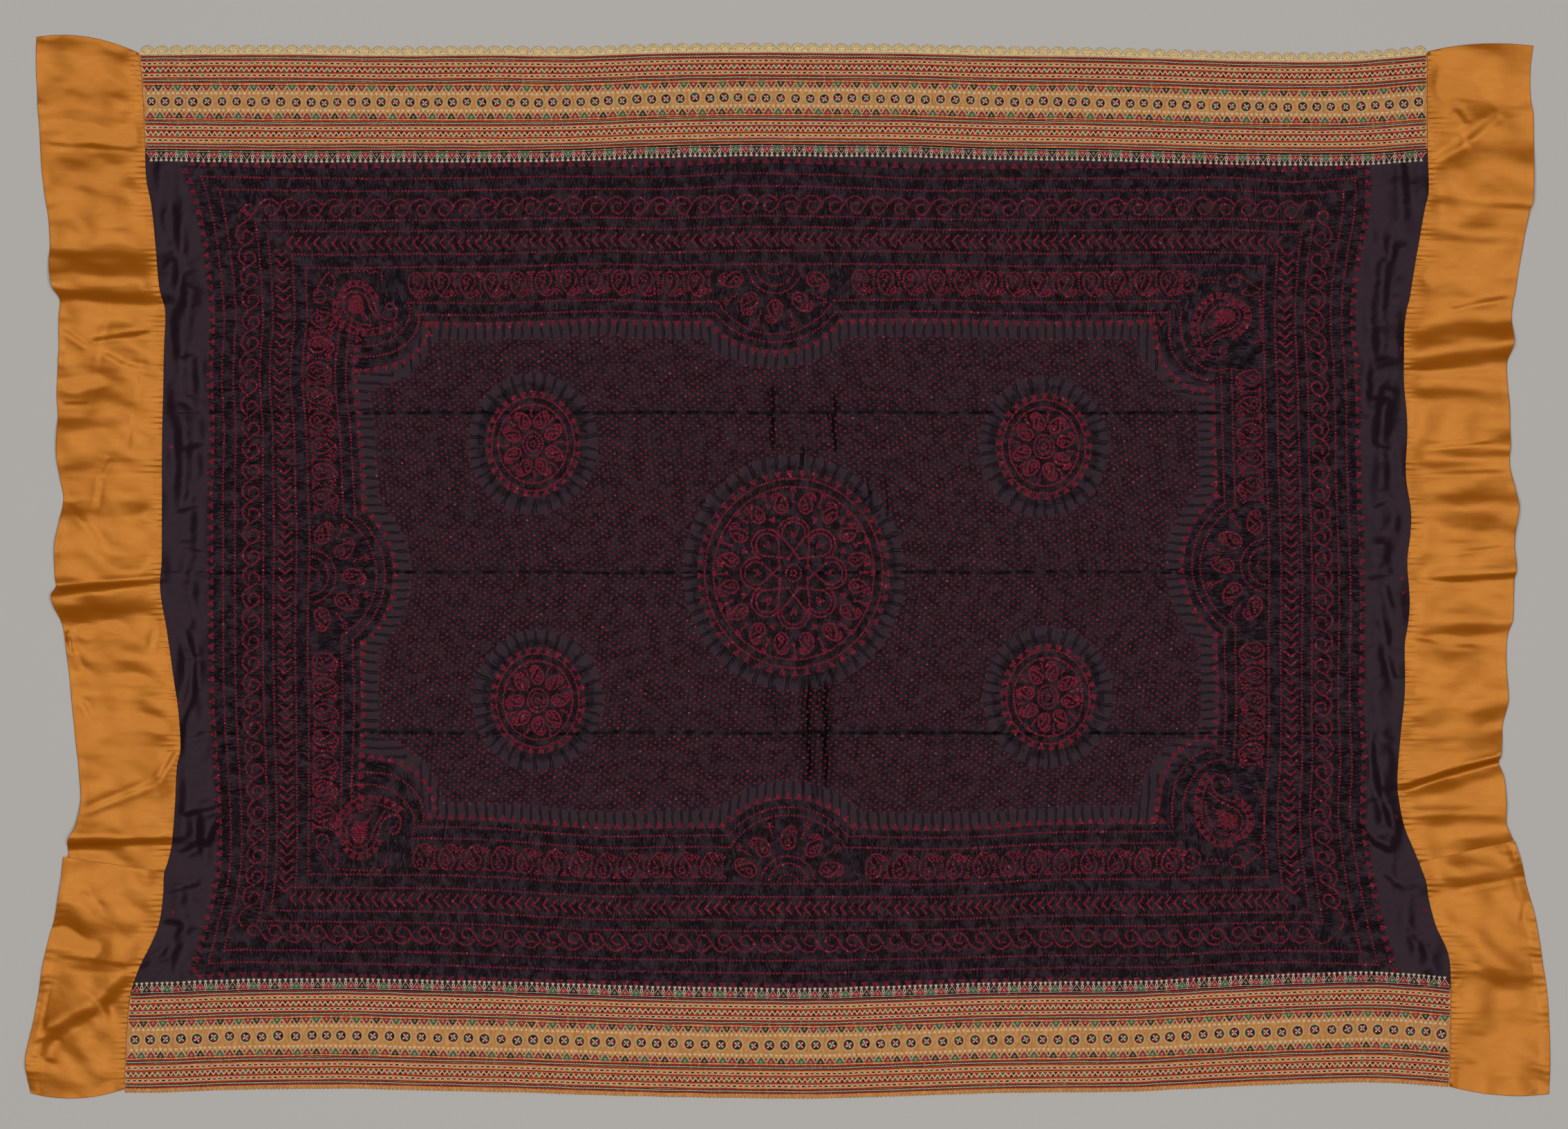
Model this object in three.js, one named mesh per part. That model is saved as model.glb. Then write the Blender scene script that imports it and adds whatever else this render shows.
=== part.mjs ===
// A bandhani veil (odhani) laid out flat: a dark tie-dyed silk centre, an embroidered band
// along each long edge, rippled orange satin down both ends and a scalloped metallic lace.
// Millimetres. +X runs along the veil, +Y across it towards the lace, +Z up from the surface
// that it lies on. The origin is under the middle of the veil.
import * as THREE from "three";

// ---- driving sizes -------------------------------------------------------------------------
const fieldWall = 1.6;        // dark silk, as thick as its puckers stand
const bandWall = 2.0;         // silk with the embroidery's threads on both faces
const satinWall = 2.0;
const laceWall = 1.2;
const halfGap = 0.2;          // each side of a seam
const gatherRise = 1.5;       // little tucks where the satin is eased onto the centre
const gatherPitch = 20;
const hemRise = 0.8;          // a turned edge lies double
const hemShare = 0.05;        // of the satin's width
const braidRise = 1.1;        // couched metal braid
const braidHalfWidth = 2.4;
const puckerRise = 1.3;       // tucks between the roundels of a band
const puckersPerBand = 36;
const scallopCount = 89;
const scallopRise = 7;
const laceFoot = 5;           // the lace's footing below its scallops
const scallopSides = 6;
const acrossSteps = 36;       // columns of the centre and the bands
const fieldRowPitch = 36;
const satinRowPitch = 20;

// A table turns rows of numbers into rows with named columns.
function table(columns, rows) {
  const names = columns.split(" ");
  return rows.map((row) => Object.fromEntries(names.map((name, i) => [name, row[i]])));
}

// Where the satin is sewn to the centre, from the lace side down.
const seamLeft = table("y x", [
  [660, -801], [636, -800], [595, -796], [524, -793], [480, -791], [450, -785], [390, -779],
  [343, -774], [318, -768], [275, -769], [190, -771], [104, -772], [10, -772], [-16, -774],
  [-41, -772], [-76, -766], [-139, -757], [-173, -752], [-223, -749], [-244, -753],
  [-288, -755], [-337, -759], [-360, -764], [-376, -769], [-400, -770], [-436, -775],
  [-460, -784], [-491, -799], [-523, -810], [-551, -814], [-623, -818], [-660, -818],
]);
const seamRight = table("y x", [
  [660, 789], [638, 789], [526, 789], [465, 790], [446, 786], [395, 777], [335, 767],
  [318, 763], [289, 760], [230, 760], [175, 764], [116, 762], [73, 768], [45, 768],
  [10, 764], [-40, 767], [-68, 765], [-94, 761], [-149, 761], [-192, 757], [-247, 752],
  [-273, 752], [-317, 760], [-354, 775], [-386, 787], [-405, 790], [-440, 799],
  [-471, 813], [-496, 817], [-557, 818], [-660, 816],
]);

// The edges of the two embroidered bands, from left to right.
const bandTopEdges = table("x upper lower", [
  [-830, 633, 518.2], [-797, 633.4, 518.2], [-631, 634.2, 516.5], [-482, 632.5, 517],
  [-375, 633.4, 516.5], [-264, 632.4, 518.2], [-162, 635.6, 522], [-59, 636.8, 524.2],
  [43, 636.3, 523.7], [145, 635.5, 523], [248, 632.9, 520], [350, 631.8, 518.8],
  [453, 629.5, 516.5], [563, 626, 513.5], [674, 625.2, 512.8], [725, 628, 514],
  [788, 633.4, 518.2], [830, 634, 519],
]);
const bandBottomEdges = table("x upper lower", [
  [-830, -525, -646], [-814, -524.7, -646], [-776, -523.8, -645.7], [-673, -520.4, -642.3],
  [-545, -519.1, -641], [-447, -521.3, -643.2], [-345, -523.4, -645.3], [-264, -526, -647.9],
  [-162, -528.9, -650.8], [-59, -530.7, -652.5], [43, -531.1, -653], [145, -528.1, -650],
  [248, -524.7, -646.6], [350, -523.4, -645.3], [427, -522.6, -644.5], [508, -518.6, -640.5],
  [576, -515.2, -637.1], [679, -511.8, -633.7], [725, -511.3, -633.2], [777, -514, -635.9],
  [816, -517.4, -639.3], [840, -518, -640],
]);

// How far below a band's upper edge each couched braid runs, as a share of the band's width.
const braidShares = [0.034, 0.27, 0.72, 0.96];
const puckerShares = [0.42, 0.5, 0.58];
const underShares = [0, 0.25, 0.5, 0.75, 1];

// The satin, a row for each ridge, trough or fold lip: the end of the row on the seam, its
// end on the outer edge, how far the row bows upwards, and how high the cloth stands there.
const satinColumns = "seamY outerX outerY bow outerLift midLift seamLift";
const leftUpperRows = table(satinColumns, [
  [636, -927, 656, 10, 0, 0, 0], [595, -927, 608, 4, 1, 2, 1], [527, -923, 535, 0, 0, 0, 0],
  [487, -920, 490, 0, 3, 6, 2], [453, -916, 458, 0, 2, 2, 4], [427, -912, 430, 0, 0, 0, 1],
  [395, -910, 398, 0, 8, 8, 5], [365, -911, 371, 0, 14, 13, 7], [345, -907, 350, 0, 15, 14, 8],
  [333, -904, 341, 0, 12, 11, 6], [324, -898, 332, 0, 1, 1, 0], [308, -899, 313, 0, 3, 3, 1],
  [294, -899, 296, 0, 5, 5, 2], [275, -899, 271, 0, 4, 6, 3], [250, -900, 254, 0, 5, 5, 3],
  [219, -902, 219, 0, 0, 0, 0], [190, -900, 190, 0, 4, 4, 2], [171, -901, 171, 0, 8, 8, 4],
  [143, -902, 143, 0, 8, 8, 4], [113, -898, 113, 0, 2, 3, 1], [86, -894, 86, 0, 0, 0, 0],
  [58, -899, 56, 0, 4, 3, 2], [28, -904, 29, 0, 7, 6, 3], [-1, -904, -9, 0, 5, 4, 2],
  [-11, -903, -22, 0, 3, 2, 1], [-20, -908, -32, 0, 13, 11, 5], [-36, -905, -46, 0, 11, 9, 4],
  [-66, -894, -73, 0, 1, 1, 0], [-139, -887, -126, 0, 1, 0, 0], [-199, -880, -199, 0, 0, 0, 0],
  [-237, -875, -245, 0, 1, 1, 4], [-271, -872, -284, 0, 5, 6, 8],
  [-309, -878, -316, 0, 13, 11, 8], [-330, -887, -334, 0, 14, 12, 8],
  [-341, -888, -345, 0, 3, 3, 3], [-374, -887, -356, 0, 3, 3, 3],
]);
const leftLowerRows = table(satinColumns, [
  [-374.5, -894, -355.5, 0, 3, 3, 3], [-395, -897, -389, 0, 6, 6, 4],
  [-429, -904, -429, 0, 3, 3, 2], [-454, -911, -452, 0, 0, 0, 0],
  [-480, -917, -479, 0, 2, 1, 3], [-497, -921, -503, 0, 4, 6, 7],
  [-527, -925, -528, 0, 2, 9, 4], [-561, -931, -561, 0, 3, 7, 1],
  [-603, -940, -603, -2, 5, 1, 0], [-629, -938, -627, -6, 2, 0, 0],
  [-642, -934, -647, -9, 0, 0, 0],
]);
const rightUpperRows = table(satinColumns, [
  [638, 920, 645, 6, 0, 0, 0], [608, 916, 616, 2, 2, 3, 1], [582, 916, 582, 0, 1, 1, 0],
  [540, 919, 563, 0, 2, 2, 1], [504, 920, 546, 0, 2, 2, 1], [483, 920, 507, 0, 8, 7, 3],
  [462, 919, 458, 0, 14, 12, 6], [446, 914, 439, 0, 9, 8, 3], [424, 909, 413, 0, 3, 3, 1],
  [405, 906, 395, 0, 5, 5, 3], [384, 903, 377, 0, 2, 1, 0], [362, 900, 360, 0, 0, 0, 0],
  [346, 897, 340, 0, 3, 3, 2], [330, 894, 326, 0, 5, 5, 3], [301, 893, 305, 0, 3, 2, 1],
  [265, 895, 278, 0, 12, 9, 6], [241, 887, 254, 0, 2, 2, 1], [224, 888, 227, 0, 2, 1, 1],
  [207, 890, 205, 0, 5, 5, 3], [180, 891, 175, 0, 4, 3, 2], [149, 891, 151, 0, 6, 5, 3],
  [132, 890, 137, 0, 3, 2, 2], [115, 891, 122, 0, 4, 5, 4], [94, 897, 98, 0, 8, 6, 3],
  [72, 901, 75, 0, 13, 10, 5], [46, 897, 45, 0, 6, 4, 2], [19, 896, 28, 0, 8, 6, 3],
  [0, 898, 9, 0, 9, 5, 2], [-12, 898, -4, 0, 8, 5, 2], [-22, 896, -13, 0, 2, 1, 1],
  [-37, 895, -32, 0, 4, 3, 2], [-66, 894, -62, 0, 7, 5, 1], [-87, 888, -82, 0, 1, 1, 0],
  [-116, 886, -113, 0, 3, 4, 3], [-149, 888, -149, 0, 5, 3, 2], [-173, 888, -166, 0, 5, 5, 4],
  [-198, 882, -192, 0, 2, 1, 2], [-224, 881, -209, 0, 5, 4, 4], [-247, 880, -221, 0, 7, 7, 5],
  [-265, 879, -231, 0, 8, 7, 5], [-276, 877, -240, 0, 1, 1, 1], [-292, 883, -258, 0, 8, 6, 4],
  [-307, 886, -288, 0, 10, 7, 3], [-322, 886, -313, 0, 4, 3, 2], [-341, 890, -325, 0, 4, 4, 3],
  [-362, 895, -335, 0, 2, 2, 2],
]);
const rightLowerRows = table(satinColumns, [
  [-362.5, 896, -335.6, 0, 2, 2, 2], [-386, 905, -363, 0, 5, 5, 4],
  [-407, 912, -392, 0, 1, 1, 1], [-437, 923, -435, 0, 4, 3, 3], [-465, 928, -467, 0, 5, 4, 3],
  [-493, 932, -493, 0, 3, 5, 5], [-527, 937, -527, 0, 0, 0, 1], [-578, 940, -578, 0, 2, 2, 1],
  [-621, 940, -621, -2, 0, 1, 0], [-639, 939, -648, -6, 0, 0, 0],
]);

// Soft folds that stand up in the dark centre: a ridge along a line, with its half width.
const fieldFolds = table("x0 y0 x1 y1 halfWidth rise", [
  [-730, 193, 735, 193, 9, 1.4],      // the three lines where it was folded for tying
  [-735, -5, 740, -5, 9, 1.6],
  [-720, -203, 735, -203, 9, 1.4],
  [22, -120, 30, -275, 12, 3.2],      // the pair of pressed creases below the middle
  [45, -125, 50, -265, 10, 2.6],
  [30, 30, 44, 95, 14, 1.8],          // short wrinkles above and beside the middle
  [100, 60, 150, 130, 16, 2.0],
  [-740, -120, -700, -330, 26, 3.0],  // loose margins beside the satin
  [720, -90, 735, -330, 26, 3.0],
  [735, 330, 742, 120, 24, 2.2],
  [-735, 330, -742, 150, 24, 2.2],
]);
const foldRows = [193, -5, -203];
const foldShoulder = 9;
const edgeReach = 90;         // how far into the centre the satin's ripples lift the silk

// ---- interpolation -------------------------------------------------------------------------
const mix = (a, b, t) => a + (b - a) * t;
const ease = (t) => t * t * (3 - 2 * t);

// A smooth curve through a table: the slope at each row is that of its two neighbours.
function curve(rows, key, value) {
  const sorted = [...rows].sort((a, b) => a[key] - b[key]);
  const at = sorted.map((row) => row[key]);
  const to = sorted.map((row) => row[value]);
  const last = at.length - 1;
  const slope = at.map((_, i) => {
    const before = Math.max(i - 1, 0);
    const after = Math.min(i + 1, last);
    return (to[after] - to[before]) / (at[after] - at[before]);
  });
  return (q) => {
    let i = 0;
    while (i < last - 1 && q > at[i + 1]) i++;
    const span = at[i + 1] - at[i];
    const t = Math.min(Math.max((q - at[i]) / span, 0), 1);
    const bend = t * (1 - t) * span;
    return mix(to[i], to[i + 1], ease(t)) + bend * ((1 - t) * slope[i] - t * slope[i + 1]);
  };
}

const leftSeamX = curve(seamLeft, "y", "x");
const rightSeamX = curve(seamRight, "y", "x");

// ---- walls ---------------------------------------------------------------------------------
// A point knows its place and its two parameters, u across the chains and v along them.
const point = (x, y, z, u, v) => ({ x, y, z, u, v });

// Triangles between two chains of points, a on the left of b, walked along the parameter.
function zip(a, b, key) {
  const faces = [];
  let i = 0;
  let j = 0;
  while (i < a.length - 1 || j < b.length - 1) {
    const nextA = i < a.length - 1 ? a[i + 1][key] : Infinity;
    const nextB = j < b.length - 1 ? b[j + 1][key] : Infinity;
    if (nextA <= nextB) faces.push([a[i], b[j], a[++i]]);
    else faces.push([a[i], b[j], b[++j]]);
  }
  return faces;
}

function surface(chains) {
  return chains.slice(1).flatMap((chain, i) => zip(chains[i], chain, "v"));
}

const first = (chain) => chain[0];
const final = (chain) => chain[chain.length - 1];

// A closed wall from the chains of its upper face and those of its underside.
function wall(name, material, upper, under) {
  const faces = [
    ...surface(upper),
    ...surface(under).map(([a, b, c]) => [a, c, b]),
    ...zip(first(under), first(upper), "v"),
    ...zip(final(upper), final(under), "v"),
    ...zip(upper.map(first), under.map(first), "u"),
    ...zip(under.map(final), upper.map(final), "u"),
  ];
  const numbers = new Map();
  const positions = [];
  const index = faces.flat().map((p) => {
    if (!numbers.has(p)) {
      numbers.set(p, numbers.size);
      positions.push(p.x, p.y, p.z);
    }
    return numbers.get(p);
  });
  const geometry = new THREE.BufferGeometry();
  geometry.setAttribute("position", new THREE.Float32BufferAttribute(positions, 3));
  geometry.setIndex(index);
  geometry.computeVertexNormals();
  const mesh = new THREE.Mesh(geometry, material);
  mesh.name = name;
  return mesh;
}

const cloth = (color, roughness, metalness = 0) =>
  new THREE.MeshStandardMaterial({ color, roughness, metalness });

// ---- satin ---------------------------------------------------------------------------------
// Seam heights between two rows: an even number of steps, so that tucks end between rows.
function seamSteps(from, to) {
  return 2 * Math.max(1, Math.round(Math.abs(to - from) / gatherPitch));
}

// The rows of a length of satin with more worked out between them, v counting from 0.
function finerRows(rows) {
  const keyed = rows.map((row, i) => ({ ...row, v: i }));
  const columns = satinColumns.split(" ").map((name) => [name, curve(keyed, "v", name)]);
  const finer = [];
  keyed.slice(0, -1).forEach((row, i) => {
    const steps = Math.max(1, Math.round((row.seamY - keyed[i + 1].seamY) / satinRowPitch));
    for (let s = 0; s < steps; s++) finer.push(i + s / steps);
  });
  finer.push(rows.length - 1);
  return finer.map((v) => {
    const row = Object.fromEntries(columns.map(([name, at]) => [name, at(v)]));
    for (const name of ["outerLift", "midLift", "seamLift"]) row[name] = Math.max(row[name], 0);
    return { ...row, v };
  });
}

// One length of satin, its outer edge on the side that outward points to.
function satinPanel(name, rows, outward, seamX, hemmed) {
  const fine = finerRows(rows);
  const seamAt = (row) => seamX(row.seamY) + outward * halfGap;
  const lift = (row, u) => (u < 0.5
    ? mix(row.outerLift, row.midLift, ease(2 * u))
    : mix(row.midLift, row.seamLift, ease(2 * u - 1)));
  const across = hemmed ? [0, hemShare, hemShare + 0.02, 0.3, 0.5, 0.7, 0.88]
    : [0, 0.15, 0.3, 0.5, 0.7, 0.88];
  const chain = (u, thickness) => fine.map((row) => point(
    mix(row.outerX, seamAt(row), u),
    mix(row.outerY, row.seamY, u) + row.bow * 4 * u * (1 - u),
    lift(row, u) + thickness, u, row.v));
  const upper = across.map((u) => chain(u, satinWall + (hemmed && u <= hemShare ? hemRise : 0)));
  const under = across.filter((u) => !hemmed || u !== hemShare).map((u) => chain(u, 0));
  const seamUpper = [];
  fine.slice(0, -1).forEach((row, i) => {
    const next = fine[i + 1];
    const steps = seamSteps(row.seamY, next.seamY);
    for (let s = 0; s < steps; s++) {
      const t = s / steps;
      const y = mix(row.seamY, next.seamY, t);
      const z = mix(row.seamLift, next.seamLift, t) + satinWall + (s % 2 ? gatherRise : 0);
      const x = mix(seamAt(row), seamAt(next), t);
      seamUpper.push(point(x, y, z, 1, mix(row.v, next.v, t)));
    }
  });
  const end = final(fine);
  seamUpper.push(point(seamAt(end), end.seamY, end.seamLift + satinWall, 1, end.v));
  upper.push(seamUpper);
  under.push(chain(1, 0));
  // rows run down the veil, so chains from left to right face downwards: they go in mirrored
  if (outward < 0) return wall(name, satin, upper.reverse().map(flipU), under.reverse().map(flipU));
  return wall(name, satin, upper, under);
}

const flipU = (chain) => chain.map((p) => Object.assign(p, { u: 1 - p.u }));

// ---- the dark centre -----------------------------------------------------------------------
// Height of the folds at a place: the highest ridge that passes there.
function foldHeight(x, y) {
  let height = 0;
  for (const fold of fieldFolds) {
    const dx = fold.x1 - fold.x0;
    const dy = fold.y1 - fold.y0;
    const along = ((x - fold.x0) * dx + (y - fold.y0) * dy) / (dx * dx + dy * dy);
    const t = Math.min(Math.max(along, 0), 1);
    const away = Math.hypot(x - fold.x0 - t * dx, y - fold.y0 - t * dy) / fold.halfWidth;
    height = Math.max(height, away < 1 ? fold.rise * ease(1 - away) : 0);
  }
  return height;
}

const fieldTopY = curve(bandTopEdges, "x", "lower");
const fieldBottomY = curve(bandBottomEdges, "x", "upper");

const acrossShares = Array.from({ length: acrossSteps + 1 }, (_, i) => i / acrossSteps);

// The rows that the satin has down a seam, so that both sides of the seam have the same corners.
const leftSeamRows = [leftUpperRows, leftLowerRows].flatMap(finerRows);
const rightSeamRows = [rightUpperRows, rightLowerRows].flatMap(finerRows);

// How high a seam lies at height y, straight from row to row.
function seamLiftAt(rows, y) {
  const i = Math.min(Math.max(rows.findIndex((row) => row.seamY <= y), 1), rows.length - 1);
  const [above, below] = [rows[i - 1], rows[i]];
  const t = (above.seamY - y) / (above.seamY - below.seamY);
  return mix(above.seamLift, below.seamLift, Math.min(Math.max(t, 0), 1));
}

// The satin's ripples run out in the dark silk: its lift at a place between the two seams.
function edgeLift(x, y) {
  const fade = (away) => ease(Math.min(Math.max(1 - away / edgeReach, 0), 1));
  return seamLiftAt(leftSeamRows, y) * fade(x - leftSeamX(y) - halfGap)
    + seamLiftAt(rightSeamRows, y) * fade(rightSeamX(y) - halfGap - x);
}

function fieldPanel() {
  const rowsDown = [];
  const topRow = fieldTopY(0) - 12;
  const bottomRow = fieldBottomY(0) + 12;
  const count = Math.round((topRow - bottomRow) / fieldRowPitch);
  for (let i = 1; i < count; i++) {
    const y = mix(topRow, bottomRow, i / count);
    if (foldRows.every((fold) => Math.abs(y - fold) > fieldRowPitch / 2)) rowsDown.push(y);
  }
  for (const fold of foldRows) rowsDown.push(fold + foldShoulder, fold, fold - foldShoulder);
  rowsDown.sort((a, b) => b - a);

  // x across at height y, between the two seams
  const at = (u, y) => mix(leftSeamX(y) + halfGap, rightSeamX(y) - halfGap, u);
  const chain = (u, heights, z) => {
    const middle = at(u, 0);
    const top = fieldTopY(at(u, fieldTopY(middle))) - halfGap;
    const bottom = fieldBottomY(at(u, fieldBottomY(middle))) + halfGap;
    const inside = heights.filter((y) => y < top - 2 && y > bottom + 2);
    return [top, ...inside, bottom].map((y) => point(at(u, y), y, z(at(u, y), y), u, -y));
  };
  const top = (x, y) => fieldWall + foldHeight(x, y) + edgeLift(x, y);
  const leftHeights = leftSeamRows.map((row) => row.seamY);
  const rightHeights = rightSeamRows.map((row) => row.seamY);
  const heightsFor = (u, inner) => (u === 0 ? leftHeights : u === 1 ? rightHeights : inner);
  // the underside leaves the surface only where the satin lifts its edges
  const raised = (u) => Math.min(u, 1 - u) * (rightSeamX(0) - leftSeamX(0)) < 1.2 * edgeReach;
  const shares = [...acrossShares].reverse();
  const upper = shares.map((u) => chain(u, heightsFor(u, rowsDown), top));
  const under = shares.map((u) => chain(u, heightsFor(u, raised(u) ? rowsDown : []), edgeLift));
  return wall("field", darkSilk, upper.map(flipU), under.map(flipU));
}

// ---- the embroidered bands -----------------------------------------------------------------
// A band runs between its two edges; its rows are shares of the way from upper to lower.
function bandPanel(name, edges, turned) {
  const upperY = curve(edges, "x", "upper");
  const lowerY = curve(edges, "x", "lower");
  const width = upperY(0) - lowerY(0);
  const rows = [{ share: 0, rise: 0 }];
  const shares = turned ? braidShares.map((s) => 1 - s).reverse() : braidShares;
  const halfShare = braidHalfWidth / width;
  for (const share of shares) {
    rows.push({ share: share - halfShare, rise: 0 });
    rows.push({ share, rise: braidRise });
    rows.push({ share: share + halfShare, rise: 0 });
  }
  for (const share of puckerShares) rows.push({ share, pucker: puckerRise });
  rows.push({ share: 1, rise: 0 });
  rows.sort((a, b) => a.share - b.share);
  const kept = rows.filter((row) => row.share >= 0 && row.share <= 1);

  // place on the band: u along it, share across it; the ends lie on the seams
  const place = (u, share) => {
    const guess = mix(leftSeamX(upperY(0)), rightSeamX(upperY(0)), u);
    const y = mix(upperY(guess) - halfGap, lowerY(guess) + halfGap, share);
    return [mix(leftSeamX(y) + halfGap, rightSeamX(y) - halfGap, u), y];
  };
  const chain = (row, z) => {
    const steps = row.pucker ? 2 * puckersPerBand : acrossSteps;
    return Array.from({ length: steps + 1 }, (_, i) => {
      const u = i / steps;
      const [x, y] = place(u, row.share);
      const tuck = row.pucker && i % 2 ? row.pucker * (row.share === 0.5 ? 1 : 0.5) : 0;
      return point(x, y, z(tuck + (row.rise ?? 0)), row.share, u);
    });
  };
  const upper = kept.map((row) => chain(row, (rise) => bandWall + rise));
  const under = underShares.map((share) => chain({ share }, () => 0));
  return wall(name, bandSilk, upper, under);
}

// ---- the lace ------------------------------------------------------------------------------
// Low round scallops on a straight footing, along the upper band's upper edge.
function laceEdging() {
  const footY = curve(bandTopEdges, "x", "upper");
  const from = leftSeamX(footY(0)) + 1;
  const to = rightSeamX(footY(0)) - 1;
  const scallops = [];
  for (let s = 0; s < scallopCount; s++) {
    for (let k = 0; k < scallopSides; k++) {
      const u = (s + k / scallopSides) / scallopCount;
      const arch = Math.sqrt(Math.sin(Math.PI * k / scallopSides));
      scallops.push([u, laceFoot + scallopRise * arch]);
    }
  }
  scallops.push([1, laceFoot]);
  const row = (spots, z) => spots.map(([u, rise]) => {
    const x = mix(from, to, u);
    return point(x, footY(x) + halfGap + rise, z, rise > 0 ? 0 : 1, u);
  });
  // a corner of the foot stands below each notch and each crown, so no face spans a notch
  const corners = 2 * scallopCount;
  const foot = Array.from({ length: corners + 1 }, (_, i) => [i / corners, 0]);
  return wall("lace_top", metalLace, [row(scallops, laceWall), row(foot, laceWall)],
    [row(scallops, 0), row(foot, 0)]);
}

// ---- the veil ------------------------------------------------------------------------------
const satin = cloth(0xc8822f, 0.42);
const darkSilk = cloth(0x2d232b, 0.6);
const bandSilk = cloth(0xb8762c, 0.7);
const metalLace = cloth(0xb9a06c, 0.5, 0.4);

const veil = new THREE.Group();
veil.add(
  fieldPanel(),
  bandPanel("border_top", bandTopEdges, false),
  bandPanel("border_bottom", bandBottomEdges, true),
  satinPanel("satin_left_upper", leftUpperRows, -1, leftSeamX, false),
  satinPanel("satin_left_lower", leftLowerRows, -1, leftSeamX, true),
  satinPanel("satin_right_upper", rightUpperRows, 1, rightSeamX, false),
  satinPanel("satin_right_lower", rightLowerRows, 1, rightSeamX, true),
  laceEdging(),
);

// The tables were measured from the centre's middle; the origin is under the whole veil's.
const box = new THREE.Box3().setFromObject(veil);
veil.position.set(-(box.min.x + box.max.x) / 2, -(box.min.y + box.max.y) / 2, 0);

export default veil;
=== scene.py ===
# Bandhani veil laid out flat: dark tie-dyed silk, embroidered bands, orange satin ends, metal lace.
import bpy
import numpy as np
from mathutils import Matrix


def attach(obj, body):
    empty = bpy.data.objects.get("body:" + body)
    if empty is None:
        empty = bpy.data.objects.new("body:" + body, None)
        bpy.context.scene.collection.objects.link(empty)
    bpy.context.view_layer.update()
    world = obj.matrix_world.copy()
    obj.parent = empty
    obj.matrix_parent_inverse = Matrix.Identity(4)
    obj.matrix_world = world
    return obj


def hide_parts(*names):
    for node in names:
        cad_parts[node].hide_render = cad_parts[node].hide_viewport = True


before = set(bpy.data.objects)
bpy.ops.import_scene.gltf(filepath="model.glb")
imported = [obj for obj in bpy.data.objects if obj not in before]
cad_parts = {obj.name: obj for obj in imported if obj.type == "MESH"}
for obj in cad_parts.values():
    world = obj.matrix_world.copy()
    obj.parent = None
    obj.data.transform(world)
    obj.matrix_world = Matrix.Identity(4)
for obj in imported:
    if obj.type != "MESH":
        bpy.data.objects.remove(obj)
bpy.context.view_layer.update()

# Shapes are worked out in millimetres from the middle of the dark centre, x along the veil and
# y towards the lace. The meshes are in metres, with the origin under the middle of the whole veil.
veilMiddle = (0.125, 2.45)
halfGap = 0.2
gridStep = 0.853                # the dyed pattern is laid out on a grid of this step, y down
gridOrigin = (1139.5, 822.5)


def mix(a, b, t):
    return a + (b - a) * t


def ease(t):
    t = np.clip(t, 0, 1)
    return t * t * (3 - 2 * t)


# Cubic through the points, its slope at each one that of the line between the two beside it.
def smoothCurve(at, to):
    at, to = np.array(at, float), np.array(to, float)
    order = np.argsort(at)
    at, to = at[order], to[order]
    before = np.maximum(np.arange(len(at)) - 1, 0)
    after = np.minimum(np.arange(len(at)) + 1, len(at) - 1)
    slope = (to[after] - to[before]) / (at[after] - at[before])

    def value(q):
        q = np.asarray(q, float)
        i = np.clip(np.searchsorted(at, q) - 1, 0, len(at) - 2)
        span = at[i + 1] - at[i]
        t = np.clip((q - at[i]) / span, 0, 1)
        bend = t * (1 - t) * span
        return mix(to[i], to[i + 1], ease(t)) + bend * ((1 - t) * slope[i] - t * slope[i + 1])
    return value


def column(rows, i, key=0):
    rows = np.array(rows, float)
    return smoothCurve(rows[:, key], rows[:, i])


# Smooth uneven value in -1..1: a few crossed waves whose phases wander, seeded by number.
def drift(x, y, size, seed):
    rng = np.random.default_rng(seed)
    total = 0
    for _ in range(5):
        angle, phase, scale = rng.uniform(0, 6.28), rng.uniform(0, 6.28), rng.uniform(0.6, 1.6)
        along = (np.cos(angle) * x + np.sin(angle) * y) * 6.28 / (size * scale)
        across = (np.cos(angle) * y - np.sin(angle) * x) * 6.28 / (size * scale * 2.3)
        total = total + np.sin(along + phase + 1.4 * np.sin(across + phase * 3))
    return total / 3.2


# ---- meshes
# Points in millimetres and faces of one size become a smooth piece on the veil.
def makePiece(name, points, faces, material, slotName, nodes=(), uv=None, values=None):
    points = np.asarray(points, float)
    faces = np.asarray(faces, np.int32)
    mesh = bpy.data.meshes.new(name)
    mesh.vertices.add(len(points))
    place = (points - (veilMiddle[0], veilMiddle[1], 0)) * 0.001
    mesh.vertices.foreach_set("co", place.astype(np.float32).ravel())
    mesh.loops.add(faces.size)
    mesh.loops.foreach_set("vertex_index", faces.ravel())
    mesh.polygons.add(len(faces))
    starts = np.arange(0, faces.size, faces.shape[1], dtype=np.int32)
    mesh.polygons.foreach_set("loop_start", starts)
    mesh.polygons.foreach_set("use_smooth", np.ones(len(faces), bool))
    if uv is not None:
        layer = mesh.uv_layers.new(name="cloth")
        layer.uv.foreach_set("vector", np.asarray(uv, np.float32)[faces.ravel()].ravel())
    for key, value in (values or {}).items():
        attribute = mesh.attributes.new(key, "FLOAT", "POINT")
        attribute.data.foreach_set("value", np.asarray(value, np.float32).ravel())
    mesh.update(calc_edges=True)
    mesh.materials.append(material)
    piece = bpy.data.objects.new(name, mesh)
    bpy.context.scene.collection.objects.link(piece)
    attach(piece, "root")
    if nodes:
        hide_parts(*nodes)
    return piece


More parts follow.
